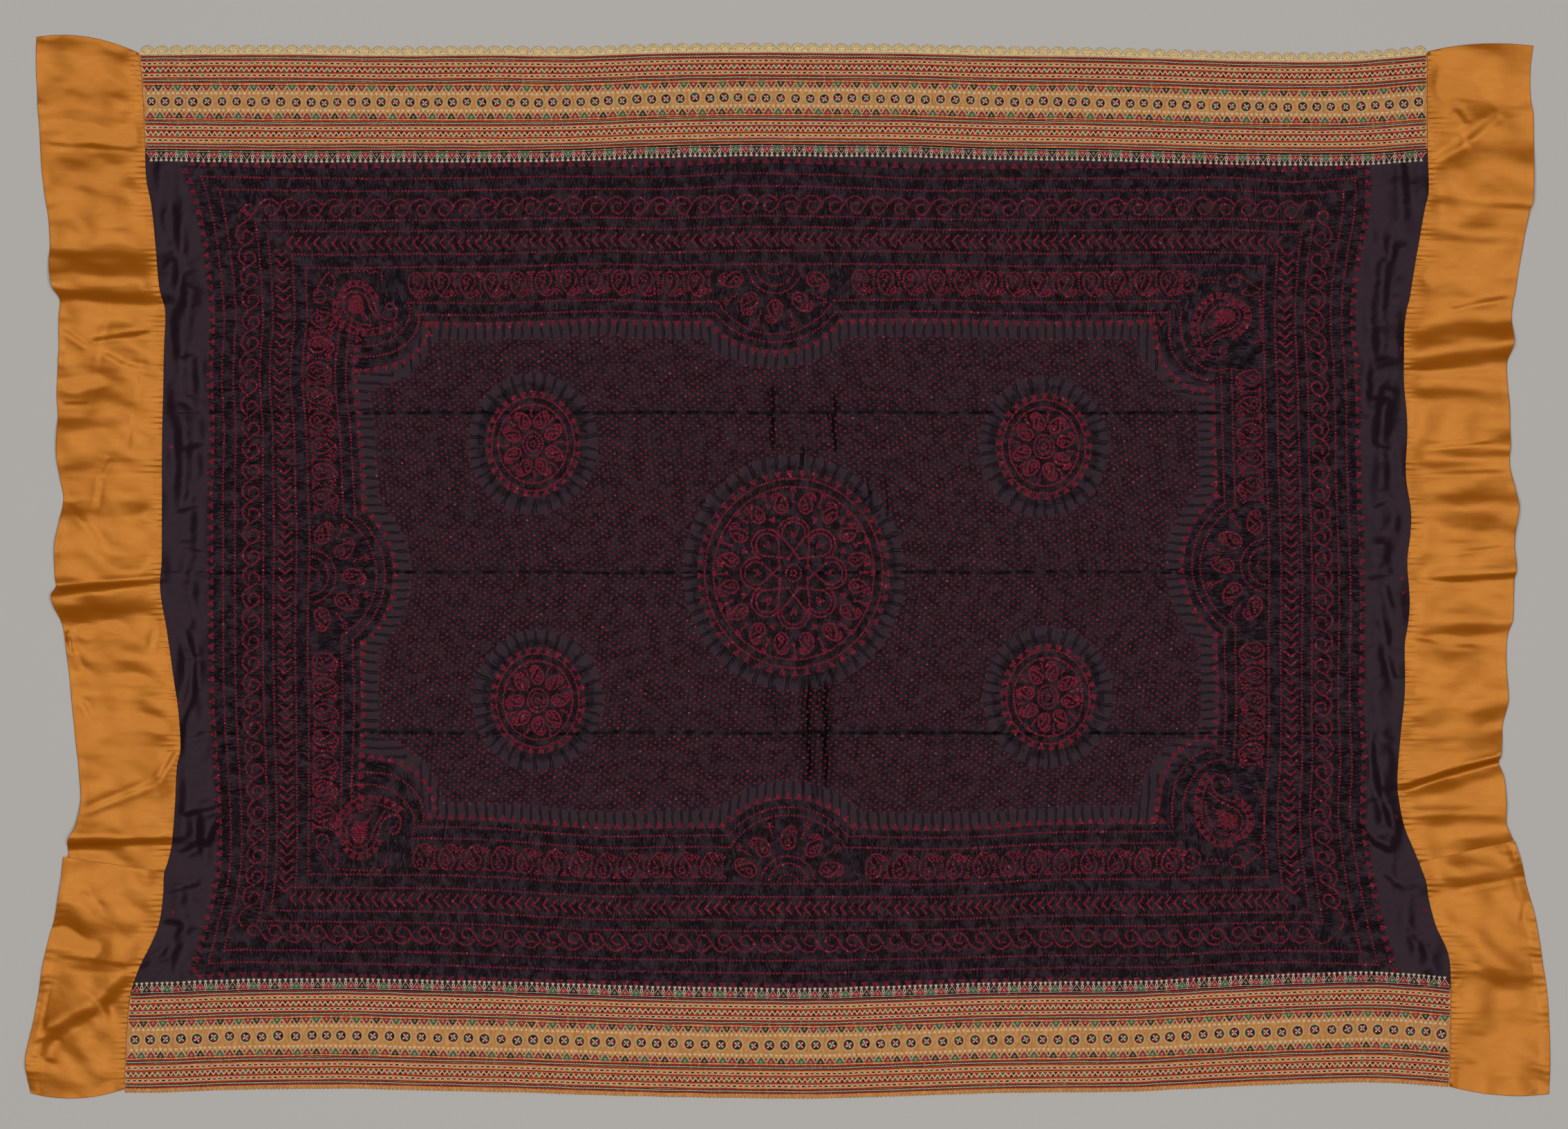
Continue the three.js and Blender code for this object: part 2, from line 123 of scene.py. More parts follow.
# Value of a grid at shares down and across it: straight between the four nearest corners.
def sampled(grid, down, across):
    rows, columns = grid.shape
    i = np.clip(down * (rows - 1), 0, rows - 1.001)
    j = np.clip(across * (columns - 1), 0, columns - 1.001)
    i0, j0 = i.astype(int), j.astype(int)
    upper = mix(grid[i0, j0], grid[i0, j0 + 1], j - j0)
    lower = mix(grid[i0 + 1, j0], grid[i0 + 1, j0 + 1], j - j0)
    return mix(upper, lower, i - i0)


# Quads of a grid whose rows run down and whose columns run to the right, facing up.
def gridFaces(rows, columns):
    i = np.arange(rows * columns).reshape(rows, columns)
    a, b, c, d = i[:-1, :-1], i[1:, :-1], i[1:, 1:], i[:-1, 1:]
    return np.stack([a, b, c, d], -1).reshape(-1, 4)


# One small shape set down many times: turned, scaled and laid on the cloth by the height function.
def scatter(shape, faces, x, y, turn, scale, height):
    cos, sin = np.cos(turn)[:, None] * scale[:, None], np.sin(turn)[:, None] * scale[:, None]
    px = x[:, None] + cos * shape[:, 0] - sin * shape[:, 1]
    py = y[:, None] + sin * shape[:, 0] + cos * shape[:, 1]
    pz = height(px, py) + shape[:, 2] * scale[:, None]
    points = np.stack([px, py, pz], -1).reshape(-1, 3)
    offsets = np.arange(len(x))[:, None, None] * len(shape)
    return points, (faces[None] + offsets).reshape(-1, faces.shape[1])


# ---- materials
def addNode(tree, kind, values=None, links=None, **props):
    node = tree.nodes.new(kind)
    for key, value in props.items():
        setattr(node, key, value)
    for key, value in (values or {}).items():
        node.inputs[key].default_value = value
    for key, source in (links or {}).items():
        tree.links.new(source, node.inputs[key])
    return node


def newMaterial(name, **plain):
    material = bpy.data.materials.new(name)
    material.use_nodes = True
    tree = material.node_tree
    shader = tree.nodes["Principled BSDF"]
    for key, value in plain.items():
        shader.inputs[key.replace("_", " ")].default_value = value
    return material, tree, shader


def newGroup(name, inputs, outputs):
    group = bpy.data.node_groups.new(name, "ShaderNodeTree")
    for key, (kind, value) in inputs.items():
        socket = group.interface.new_socket(key, in_out="INPUT", socket_type=kind)
        if value is not None:
            socket.default_value = value
    for key, kind in outputs.items():
        group.interface.new_socket(key, in_out="OUTPUT", socket_type=kind)
    return group, group.nodes.new("NodeGroupInput"), group.nodes.new("NodeGroupOutput")


def useGroup(tree, group, values=None, links=None):
    return addNode(tree, "ShaderNodeGroup", values, links, node_tree=group)


# One step of arithmetic on shader values: each is a number or another node's output.
def calculate(tree, operation, *values):
    node = tree.nodes.new("ShaderNodeMath")
    node.operation = operation
    for i, value in enumerate(values):
        if isinstance(value, (int, float)):
            node.inputs[i].default_value = value
        else:
            tree.links.new(value, node.inputs[i])
    return node.outputs[0]


def stepOf(operation):
    return lambda tree, *values: calculate(tree, operation, *values)


plus, minus, times, over = [stepOf(name) for name in ("ADD", "SUBTRACT", "MULTIPLY", "DIVIDE")]
most, least, sine, absolute = [stepOf(name) for name in ("MAXIMUM", "MINIMUM", "SINE", "ABSOLUTE")]


def mixColour(tree, factor, a, b):
    node = tree.nodes.new("ShaderNodeMix")
    node.data_type = "RGBA"
    for i, value in ((0, factor), (6, a), (7, b)):
        if isinstance(value, (int, float, tuple)):
            node.inputs[i].default_value = value
        else:
            tree.links.new(value, node.inputs[i])
    return node.outputs[2]


# Short wrinkles that run one way: noise squeezed across that way, its creases deep and thin.
def makeWrinkleGroup():
    group, into, out = newGroup("shortWrinkles", {
        "Place": ("NodeSocketVector", None), "Turn": ("NodeSocketFloat", 0.0),
        "Across": ("NodeSocketFloat", 3.0), "Length": ("NodeSocketFloat", 3.0),
    }, {"Height": "NodeSocketFloat"})
    # the creases bend a little from place to place
    sway = addNode(group, "ShaderNodeTexNoise", {"Scale": 55.0, "Detail": 1.0},
                   {"Vector": into.outputs["Place"]})
    bent = addNode(group, "ShaderNodeVectorMath", {1: (0.012, 0.012, 0.0), 2: (0.0, 0.0, 0.0)},
                   {0: sway.outputs["Color"]}, operation="MULTIPLY_ADD")
    moved = addNode(group, "ShaderNodeVectorMath",
                    links={0: into.outputs["Place"], 1: bent.outputs[0]})
    turned = addNode(group, "ShaderNodeVectorRotate", rotation_type="Z_AXIS",
                     links={"Vector": moved.outputs[0], "Angle": into.outputs["Turn"]})
    parts = addNode(group, "ShaderNodeSeparateXYZ", links={0: turned.outputs[0]})
    across = over(group, times(group, parts.outputs[0], 1000.0), into.outputs["Across"])
    length = times(group, into.outputs["Across"], into.outputs["Length"])
    along = over(group, times(group, parts.outputs[1], 1000.0), length)
    place = addNode(group, "ShaderNodeCombineXYZ", links={0: across, 1: along})
    noise = addNode(group, "ShaderNodeTexNoise",
                    {"Scale": 1.0, "Detail": 3.0, "Roughness": 0.55, "Distortion": 0.5},
                    {"Vector": place.outputs[0]})
    folded = absolute(group, minus(group, noise.outputs["Fac"], 0.5))
    group.links.new(least(group, times(group, folded, 8.0), 1.0), out.inputs["Height"])
    return group


# Warp and weft: two crossed sets of fine threads, with a little slub.
def makeWeaveGroup():
    group, into, out = newGroup("plainWeave", {
        "Place": ("NodeSocketVector", None), "Pitch": ("NodeSocketFloat", 0.5),
    }, {"Height": "NodeSocketFloat", "Slub": "NodeSocketFloat"})
    parts = addNode(group, "ShaderNodeSeparateXYZ", links={0: into.outputs["Place"]})
    scaled = [over(group, times(group, parts.outputs[i], 6283.0), into.outputs["Pitch"])
              for i in (0, 1)]
    waves = plus(group, sine(group, scaled[0]), sine(group, scaled[1]))
    drawn = addNode(group, "ShaderNodeMapping", {"Scale": (40.0, 900.0, 1.0)},
                    {"Vector": into.outputs["Place"]})
    slub = addNode(group, "ShaderNodeTexNoise", {"Scale": 1.0, "Detail": 4.0},
                   {"Vector": drawn.outputs[0]}).outputs["Fac"]
    group.links.new(plus(group, times(group, waves, 0.25), slub), out.inputs["Height"])
    group.links.new(slub, out.inputs["Slub"])
    return group


# Soft patches where the colour is a little lighter or darker.
def makePatchGroup():
    group, into, out = newGroup("softPatches", {
        "Place": ("NodeSocketVector", None), "Size": ("NodeSocketFloat", 60.0),
    }, {"Amount": "NodeSocketFloat"})
    noise = addNode(group, "ShaderNodeTexNoise", {"Detail": 4.0, "Roughness": 0.6},
                    {"Vector": into.outputs["Place"],
                     "Scale": over(group, 1000.0, into.outputs["Size"])})
    group.links.new(noise.outputs["Fac"], out.inputs["Amount"])
    return group


wrinkleGroup, weaveGroup, patchGroup = makeWrinkleGroup(), makeWeaveGroup(), makePatchGroup()


def objectPlace(tree):
    return addNode(tree, "ShaderNodeTexCoord").outputs["Object"]


def patchesAt(tree, place, size):
    return useGroup(tree, patchGroup, {"Size": size}, {"Place": place}).outputs[0]


def weaveAt(tree, place, pitch):
    return useGroup(tree, weaveGroup, {"Pitch": pitch}, {"Place": place})


def wrinklesAt(tree, place, turn, across, length):
    return useGroup(tree, wrinkleGroup, {"Turn": turn, "Across": across, "Length": length},
                    {"Place": place}).outputs[0]


def attributeValue(tree, name):
    return addNode(tree, "ShaderNodeAttribute", attribute_name=name).outputs["Fac"]


def addBump(tree, shader, height, distance, strength=1.0):
    bump = addNode(tree, "ShaderNodeBump", {"Distance": distance, "Strength": strength},
                   {"Height": height})
    tree.links.new(bump.outputs[0], shader.inputs["Normal"])


# ---- the seams and the bands' edges, x or y by place along them
seamLeftRows = [
    (660, -801), (636, -800), (595, -796), (524, -793), (480, -791), (450, -785), (390, -779),
    (343, -774), (318, -768), (275, -769), (190, -771), (104, -772), (10, -772), (-16, -774),
    (-41, -772), (-76, -766), (-139, -757), (-173, -752), (-223, -749), (-244, -753),
    (-288, -755), (-337, -759), (-360, -764), (-376, -769), (-400, -770), (-436, -775),
    (-460, -784), (-491, -799), (-523, -810), (-551, -814), (-623, -818), (-660, -818)]
seamRightRows = [
    (660, 789), (638, 789), (526, 789), (465, 790), (446, 786), (395, 777), (335, 767),
    (318, 763), (289, 760), (230, 760), (175, 764), (116, 762), (73, 768), (45, 768),
    (10, 764), (-40, 767), (-68, 765), (-94, 761), (-149, 761), (-192, 757), (-247, 752),
    (-273, 752), (-317, 760), (-354, 775), (-386, 787), (-405, 790), (-440, 799),
    (-471, 813), (-496, 817), (-557, 818), (-660, 816)]
bandTopRows = [
    (-830, 633, 518.2), (-797, 633.4, 518.2), (-631, 634.2, 516.5), (-482, 632.5, 517),
    (-375, 633.4, 516.5), (-264, 632.4, 518.2), (-162, 635.6, 522), (-59, 636.8, 524.2),
    (43, 636.3, 523.7), (145, 635.5, 523), (248, 632.9, 520), (350, 631.8, 518.8),
    (453, 629.5, 516.5), (563, 626, 513.5), (674, 625.2, 512.8), (725, 628, 514),
    (788, 633.4, 518.2), (830, 634, 519)]
bandBottomRows = [
    (-830, -525, -646), (-814, -524.7, -646), (-776, -523.8, -645.7), (-673, -520.4, -642.3),
    (-545, -519.1, -641), (-447, -521.3, -643.2), (-345, -523.4, -645.3), (-264, -526, -647.9),
    (-162, -528.9, -650.8), (-59, -530.7, -652.5), (43, -531.1, -653), (145, -528.1, -650),
    (248, -524.7, -646.6), (350, -523.4, -645.3), (427, -522.6, -644.5), (508, -518.6, -640.5),
    (576, -515.2, -637.1), (679, -511.8, -633.7), (725, -511.3, -633.2), (777, -514, -635.9),
    (816, -517.4, -639.3), (840, -518, -640)]
leftSeamX, rightSeamX = column(seamLeftRows, 1), column(seamRightRows, 1)
topUpperY, topLowerY = column(bandTopRows, 1), column(bandTopRows, 2)
bottomUpperY, bottomLowerY = column(bandBottomRows, 1), column(bandBottomRows, 2)

# ---- the satin's ridges, troughs and fold lips, a row for each:
# its end on the seam, its outer end x and y, its bow, and its height outside, midway and inside
leftUpperRows = [
    (636, -927, 656, 10, 0, 0, 0), (595, -927, 608, 4, 1, 2, 1), (527, -923, 535, 0, 0, 0, 0),
    (487, -920, 490, 0, 3, 6, 2), (453, -916, 458, 0, 2, 2, 4), (427, -912, 430, 0, 0, 0, 1),
    (395, -910, 398, 0, 2, 2, 1), (376, -911, 381, 0, 10, 9, 5), (358, -910, 364, 0, 15, 14, 8),
    (340, -906, 346, 0, 11, 10, 6), (324, -898, 332, 0, 1, 1, 0), (308, -899, 313, 0, 3, 3, 1),
    (294, -899, 296, 0, 5, 5, 2), (275, -899, 271, 0, 4, 6, 3), (250, -900, 254, 0, 5, 5, 3),
    (219, -902, 219, 0, 0, 0, 0), (190, -900, 190, 0, 4, 4, 2), (171, -901, 171, 0, 8, 8, 4),
    (143, -902, 143, 0, 8, 8, 4), (113, -898, 113, 0, 2, 3, 1), (86, -894, 86, 0, 0, 0, 0),
    (58, -899, 56, 0, 4, 3, 2), (28, -904, 29, 0, 7, 6, 3), (-1, -904, -9, 0, 5, 4, 2),
    (-11, -903, -22, 0, 3, 2, 1), (-20, -908, -32, 0, 13, 11, 5), (-36, -905, -46, 0, 11, 9, 4),
    (-66, -894, -73, 0, 1, 1, 0), (-139, -887, -126, 0, 1, 0, 0), (-199, -880, -199, 0, 0, 0, 0),
    (-237, -875, -245, 0, 1, 1, 4), (-271, -872, -284, 0, 5, 6, 8),
    (-309, -878, -316, 0, 13, 11, 8), (-330, -887, -334, 0, 14, 12, 8),
    (-341, -888, -345, 0, 3, 3, 3), (-374, -887, -356, 0, 3, 3, 3)]
leftLowerRows = [
    (-374.5, -894, -355.5, 0, 3, 3, 3), (-395, -897, -389, 0, 6, 6, 4),
    (-429, -904, -429, 0, 3, 3, 2), (-454, -911, -452, 0, 0, 0, 0),
    (-480, -917, -479, 0, 2, 1, 3), (-497, -921, -503, 0, 4, 6, 7),
    (-527, -925, -528, 0, 2, 9, 4), (-561, -931, -561, 0, 3, 7, 1),
    (-603, -940, -603, -2, 5, 1, 0), (-629, -938, -627, -6, 2, 0, 0),
    (-642, -934, -647, -9, 0, 0, 0)]
rightUpperRows = [
    (638, 920, 645, 6, 0, 0, 0), (608, 916, 616, 2, 2, 3, 1), (582, 916, 582, 0, 1, 1, 0),
    (540, 919, 563, 0, 2, 2, 1), (504, 920, 546, 0, 2, 2, 1), (483, 920, 507, 0, 8, 7, 3),
    (462, 919, 458, 0, 14, 12, 6), (446, 914, 439, 0, 9, 8, 3), (424, 909, 413, 0, 3, 3, 1),
    (405, 906, 395, 0, 5, 5, 3), (384, 903, 377, 0, 2, 1, 0), (362, 900, 360, 0, 0, 0, 0),
    (346, 897, 340, 0, 3, 3, 2), (330, 894, 326, 0, 5, 5, 3), (301, 893, 305, 0, 3, 2, 1),
    (265, 895, 278, 0, 12, 9, 6), (241, 887, 254, 0, 2, 2, 1), (224, 888, 227, 0, 2, 1, 1),
    (207, 890, 205, 0, 5, 5, 3), (180, 891, 175, 0, 4, 3, 2), (149, 891, 151, 0, 6, 5, 3),
    (132, 890, 137, 0, 3, 2, 2), (115, 891, 122, 0, 4, 5, 4), (94, 897, 98, 0, 8, 6, 3),
    (72, 901, 75, 0, 13, 10, 5), (46, 897, 45, 0, 6, 4, 2), (19, 896, 28, 0, 8, 6, 3),
    (0, 898, 9, 0, 9, 5, 2), (-12, 898, -4, 0, 8, 5, 2), (-22, 896, -13, 0, 2, 1, 1),
    (-37, 895, -32, 0, 4, 3, 2), (-66, 894, -62, 0, 7, 5, 1), (-87, 888, -82, 0, 1, 1, 0),
    (-116, 886, -113, 0, 3, 4, 3), (-149, 888, -149, 0, 5, 3, 2), (-173, 888, -166, 0, 5, 5, 4),
    (-198, 882, -192, 0, 2, 1, 2), (-224, 881, -209, 0, 5, 4, 4), (-247, 880, -221, 0, 7, 7, 5),
    (-265, 879, -231, 0, 8, 7, 5), (-276, 877, -240, 0, 1, 1, 1), (-292, 883, -258, 0, 8, 6, 4),
    (-307, 886, -288, 0, 10, 7, 3), (-322, 886, -313, 0, 4, 3, 2), (-341, 890, -325, 0, 4, 4, 3),
    (-362, 895, -335, 0, 2, 2, 2)]
rightLowerRows = [
    (-362.5, 896, -335.6, 0, 2, 2, 2), (-386, 905, -363, 0, 5, 5, 4),
    (-407, 912, -392, 0, 1, 1, 1), (-437, 923, -435, 0, 4, 3, 3), (-465, 928, -467, 0, 5, 4, 3),
    (-493, 932, -493, 0, 3, 5, 5), (-527, 937, -527, 0, 0, 0, 1), (-578, 940, -578, 0, 2, 2, 1),
    (-621, 940, -621, -2, 0, 1, 0), (-639, 939, -648, -6, 0, 0, 0)]


# Height of the seam on one side at height y on the veil, from the rows of both satin lengths.
def seamLift(rows):
    lift = column(rows, 6)
    return lambda y: np.maximum(lift(y), 0)


leftSeamLift = seamLift(leftUpperRows + leftLowerRows[1:])
rightSeamLift = seamLift(rightUpperRows + rightLowerRows[1:])


# ---- dark silk centre
fieldCloth = {
    "pitch": 3.4,               # mm between the rows of the cloth's mesh
    "height": 1.1,
    "edgeReach": 90,
    "haloFold": 0.8,
    "latticeFold": 0.28,
    "fineWrinkle": 0.0009,
}
# soft folds that stand up: x0 y0 x1 y1, half width, rise
fieldFolds = [
    (-730, 193, 735, 193, 9, 1.4), (-735, -5, 740, -5, 9, 1.6), (-720, -203, 735, -203, 9, 1.4),
    (22, -120, 30, -275, 12, 3.2), (45, -125, 50, -265, 10, 2.6), (30, 30, 44, 95, 14, 1.8),
    (100, 60, 150, 130, 16, 2.0), (-740, -120, -700, -330, 26, 3.0),
    (720, -90, 735, -330, 26, 3.0), (735, 330, 742, 120, 24, 2.2), (-735, 330, -742, 150, 24, 2.2)]


def segmentNear(x, y, x0, y0, x1, y1):
    # signed distance from a straight line between two places, and the share along it
    dx, dy = x1 - x0, y1 - y0
    t = np.clip(((x - x0) * dx + (y - y0) * dy) / (dx * dx + dy * dy), 0, 1)
    ax, ay = x - x0 - t * dx, y - y0 - t * dy
    return np.hypot(ax, ay) * np.sign(ax * dy - ay * dx), t


def edgeLift(x, y):
    reach = fieldCloth["edgeReach"]
    return (leftSeamLift(y) * ease(1 - (x - leftSeamX(y)) / reach)
            + rightSeamLift(y) * ease(1 - (rightSeamX(y) - x) / reach))


def foldHeight(x, y):
    height = np.zeros_like(x)
    for x0, y0, x1, y1, halfWidth, rise in fieldFolds:
        away, _ = segmentNear(x, y, x0, y0, x1, y1)
        height = np.maximum(height, rise * ease(1 - np.abs(away) / halfWidth))
    return height


# ---- layout of the dyed pattern, on its grid
def toVeil(grid):
    grid = np.asarray(grid, float)
    return (grid - gridOrigin) * (gridStep, -gridStep)


def toGrid(x, y):
    return x / gridStep + gridOrigin[0], gridOrigin[1] - y / gridStep


# the four sides of the frame: outer and inner edge at places along each
frameSides = {
    "left": ([(241, 272), (300, 291), (380, 305), (460, 312), (540, 309), (620, 312), (700, 310),
              (860, 310), (1020, 312), (1100, 317), (1180, 322), (1260, 320), (1340, 302),
              (1409, 283)],
             [(460, 520), (540, 511), (620, 518), (700, 523), (780, 527), (860, 524), (940, 522),
              (1020, 524), (1100, 521), (1180, 518)]),
    "right": ([(241, 1973), (300, 1973), (380, 1959), (460, 1952), (540, 1958), (700, 1961),
               (860, 1966), (1020, 1964), (1100, 1968), (1180, 1966), (1260, 1977), (1340, 1994),
               (1409, 2013)],
              [(540, 1755), (620, 1757), (780, 1761), (940, 1760), (1020, 1762), (1100, 1757),
               (1180, 1750)]),
    "top": ([(272, 241), (430, 244), (610, 245), (790, 242), (970, 242), (1060, 237),
             (1150, 238), (1240, 241), (1330, 245), (1510, 245), (1690, 244), (1780, 244),
             (1870, 250), (1973, 243)],
            [(520, 470), (610, 467), (700, 468), (790, 465), (880, 462), (970, 466), (1240, 463),
             (1330, 462), (1510, 466), (1690, 464)]),
    "bottom": ([(283, 1409), (340, 1405), (430, 1406), (610, 1409), (790, 1415), (970, 1419),
                (1150, 1421), (1330, 1417), (1510, 1413), (1690, 1412), (1780, 1407),
                (1870, 1405), (2013, 1409)],
               [(610, 1183), (700, 1185), (790, 1192), (880, 1198), (970, 1196), (1240, 1197),
                (1330, 1200), (1420, 1198), (1510, 1192), (1690, 1190)]),
}
sideEdge = {side: [column(rows, 1) for rows in pair] for side, pair in frameSides.items()}
inwardSign = {"left": 1, "right": -1, "top": 1, "bottom": -1}
sideNames = ("top", "bottom", "left", "right")
innerShare = 0.635      # share of the depth where the frame's innermost full line runs


# Across place of a frame line at a share of the frame's depth, by place along the side.
def acrossAt(side, along, share):
    outer, inner = sideEdge[side]
    return mix(outer(along), inner(along), share)


# Place on a side: along it, at a share of its depth, moved inwards by some grid steps.
def onSide(side, along, share, inward=0.0):
    along = np.asarray(along, float)
    across = acrossAt(side, along, share) + inwardSign[side] * np.asarray(inward, float)
    return np.stack([across, along] if side in ("left", "right") else [along, across], -1)


# Corner of the frame line at a share: where its two sides meet.
def frameCorner(sideAcross, sideDown, share):
    x, y = 300.0 if sideDown == "left" else 1950.0, 300.0 if sideAcross == "top" else 1350.0
    for _ in range(6):
        x = float(acrossAt(sideDown, y, share))
        y = float(acrossAt(sideAcross, x, share))
    return x, y


# Ends of a frame line along a side, corner to corner.
def sideSpan(side, share):
    if side in ("left", "right"):
        return frameCorner("top", side, share)[1], frameCorner("bottom", side, share)[1]
    return frameCorner(side, "left", share)[0], frameCorner(side, "right", share)[0]


# Even steps along a path, worked out from its running length.
def spaced(path, pitch, phase=0.0):
    path = np.asarray(path, float)
    run = np.r_[0, np.cumsum(np.hypot(*np.diff(path, axis=0).T))]
    count = max(int(round((run[-1] - phase) / pitch)), 1)
    at = np.linspace(phase, run[-1], count + 1)
    return np.c_[np.interp(at, run, path[:, 0]), np.interp(at, run, path[:, 1])]


def roundPath(cx, cy, rx, ry, start=0, end=360, count=97):
    a = np.radians(np.linspace(start, end, count))
    return np.c_[cx + rx * np.cos(a), cy + ry * np.sin(a)]


# A corner-to-corner smooth line through a few points, as a path.
def smoothPath(points, count=60):
    points = np.asarray(points, float)
    run = np.r_[0, np.cumsum(np.hypot(*np.diff(points, axis=0).T))]
    at = np.linspace(0, run[-1], count)
    return np.c_[smoothCurve(run, points[:, 0])(at), smoothCurve(run, points[:, 1])(at)]


# A motif in its own grid units carried to a place: turned so that its +y points along "down".
def setDown(motif, x, y, down, mirror=1.0, size=1.0):
    cos, sin = np.cos(down - np.pi / 2), np.sin(down - np.pi / 2)
    mx, my = motif[:, 0] * mirror * size, motif[:, 1] * size
    return np.c_[x + cos * mx - sin * my, y + sin * mx + cos * my]


dotPitch = 4.75
tri = 3.3
triangleMotif = np.array([(-tri, 0), (0, 0), (tri, 0), (-tri / 2, tri * .9), (tri / 2, tri * .9),
                          (0, tri * 1.8)])
# teardrop with its round head at the top, a leaf at its tip and a small bud inside
dropOutline = smoothPath([(-9, 12), (-11.5, 3), (-10, -5), (-5, -10.5), (1, -12), (7, -9),
                          (11, -3), (10.5, 4), (7, 11), (2, 18), (-1, 22)])
dropSide = smoothPath([(-9, 12), (-5, 18), (1, 23), (7, 23.5), (13, 19), (13.5, 13)])
dropBud = np.vstack([roundPath(-1, -2, 4.2, 4.2, 0, 300, 6), [(1, 4), (-1.5, 8), (-3, 11)]])
dropMotif = np.vstack([spaced(dropOutline, 3.9), spaced(dropSide, 3.9), dropBud,
                       [(9, 15), (7, 18.5)]])
gapMotif = np.array([(-5, -11), (-1.5, -11.5), (2, -11), (5, -11.5), (-2.5, -8), (1, -8),
                     (0, -4.5), (1, 0.5), (0, 5), (1, 9), (-4, 14), (-1, 17), (2, 14), (4.5, 17),
                     (-4, 20), (1, 20.5)])
vineMotif = smoothPath([(3.5, -6), (-1.5, -6), (-5.5, -3.5), (-7, 1), (-5.5, 5.5), (-1, 8.7),
                        (4, 8.3), (8.5, 4.5), (12, -1), (15, -6.5), (19, -11), (24, -14),
                        (29, -15.3), (34, -14.3), (38.5, -11.5), (42, -8)])
chevronMotif = np.array([(3.5, -8.5), (1.6, -6.2), (-0.4, -4.1), (-2.4, -2.0), (-4.2, 0),
                         (-2.4, 2.3), (-0.4, 4.6), (1.6, 6.9), (3.5, 9.2)])

dotSets = {"frame": [], "ground": [], "rings": []}


def addDots(group, points):
    dotSets[group].append(np.asarray(points, float))


def dotLine(group, path, pitch=dotPitch):
    addDots(group, spaced(path, pitch))


# Rings of dots round one middle, by their half widths and heights.
def dotRings(group, cx, cy, halves, pitch, count=97):
    for rx, ry in halves:
        dotLine(group, roundPath(cx, cy, rx, ry, 0, 360, count), pitch)


# Teardrops round a middle, heads outwards, each with a small figure beside it that is turned
# on by some degrees. Both are given as half width and height of their ring, and their size.
def teardropsRound(group, cx, cy, angles, drops, gaps, gapPart, turnedOn, mirrorEvery=2):
    for k, angle in enumerate(angles):
        for (rx, ry, size), motif, turn, mirror in (
                (drops, dropMotif, angle, 1 if k % mirrorEvery else -1),
                (gaps, gapPart, angle + np.radians(turnedOn), 1)):
            x, y = cx + rx * np.cos(turn), cy + ry * np.sin(turn)
            addDots(group, setDown(motif, x, y, turn, mirror, size))


# Triangles of six dots standing along a path, pointing to its left or right.
def trianglesAlong(group, path, pitch, side):
    places = spaced(path, pitch)
    step = np.gradient(places, axis=0)
    for (x, y), (dx, dy) in zip(places, step):
        addDots(group, setDown(triangleMotif, x, y, np.arctan2(dx * side, -dy * side)))


lineShares = (0.06, 0.14, 0.33, 0.40, 0.55, innerShare)
vineShare, chevronShare, dropShare = 0.262, 0.475, 0.745
halfMedallions = {"top": (1121, 385), "bottom": (1140, 1277), "left": (447, 833),
                  "right": (1834, 818)}
medallions = [(771, 642), (1510, 646), (778, 1013), (1516, 1008)]
centreMedallion = (1148, 829)
# corner lobes: across side, side that the tail runs along, scale along and across
cornerLobes = [("top", "left", "x", 1.0, 1.0), ("bottom", "left", "x", 1.02, 1.15),
               ("top", "right", "y", 1.0, 1.08), ("bottom", "right", "y", 1.12, 1.08)]


# A corner's own axes: a along the tail and b across it, both inwards.
def lobeFrame(lobe):
    across, down, tail, scaleA, scaleB = lobe
    cx, cy = frameCorner(across, down, innerShare)
    inX = np.array([1.0 if down == "left" else -1.0, 0.0])
    inY = np.array([0.0, 1.0 if across == "top" else -1.0])
    a, b = (inX, inY) if tail == "x" else (inY, inX)
    return np.array([cx, cy]), a * scaleA, b * scaleB


def inLobe(lobe, points):
    origin, a, b = lobeFrame(lobe)
    points = np.asarray(points, float)
    return origin + points[:, :1] * a + points[:, 1:] * b


lobeLine = [(148, 50), (151, 62), (148, 78), (136, 94), (118, 106), (98, 112), (80, 113), (60, 111)]
lobeSecond = [(162, 64), (164, 78), (158, 95), (146, 109), (126, 122), (104, 127), (84, 128),
              (66, 127)]
lobeTriangles = [(178, 82), (176, 96), (168, 110), (158, 122), (140, 134), (118, 141),
                 (98, 145), (76, 148)]
botehLines = [
    [(46, 53), (47, 64), (53, 73), (59, 79), (69, 85), (78, 88), (88, 89.6), (98, 88), (107, 86),
     (117, 83), (125, 79), (131, 71), (131.7, 62), (128.7, 55), (122.7, 50.6), (117, 54),
     (118.5, 59), (124, 60)],
    [(46, 53), (49, 50), (54, 47), (54, 38), (60, 31), (69, 26.6), (78, 27), (86, 31), (93, 38),
     (98, 47), (101, 56), (104, 63), (109, 70), (117, 74), (125, 74.6), (131, 71)],
    [(56, 49), (54.5, 59), (59, 67), (66, 73), (73, 78), (81, 81), (88, 82), (96, 83.5)],
    [(56, 49), (56, 43), (60, 38), (68, 34), (78, 35), (84, 38), (89, 44), (92, 52), (95, 59),
     (100, 67), (105, 73), (109, 79)]]


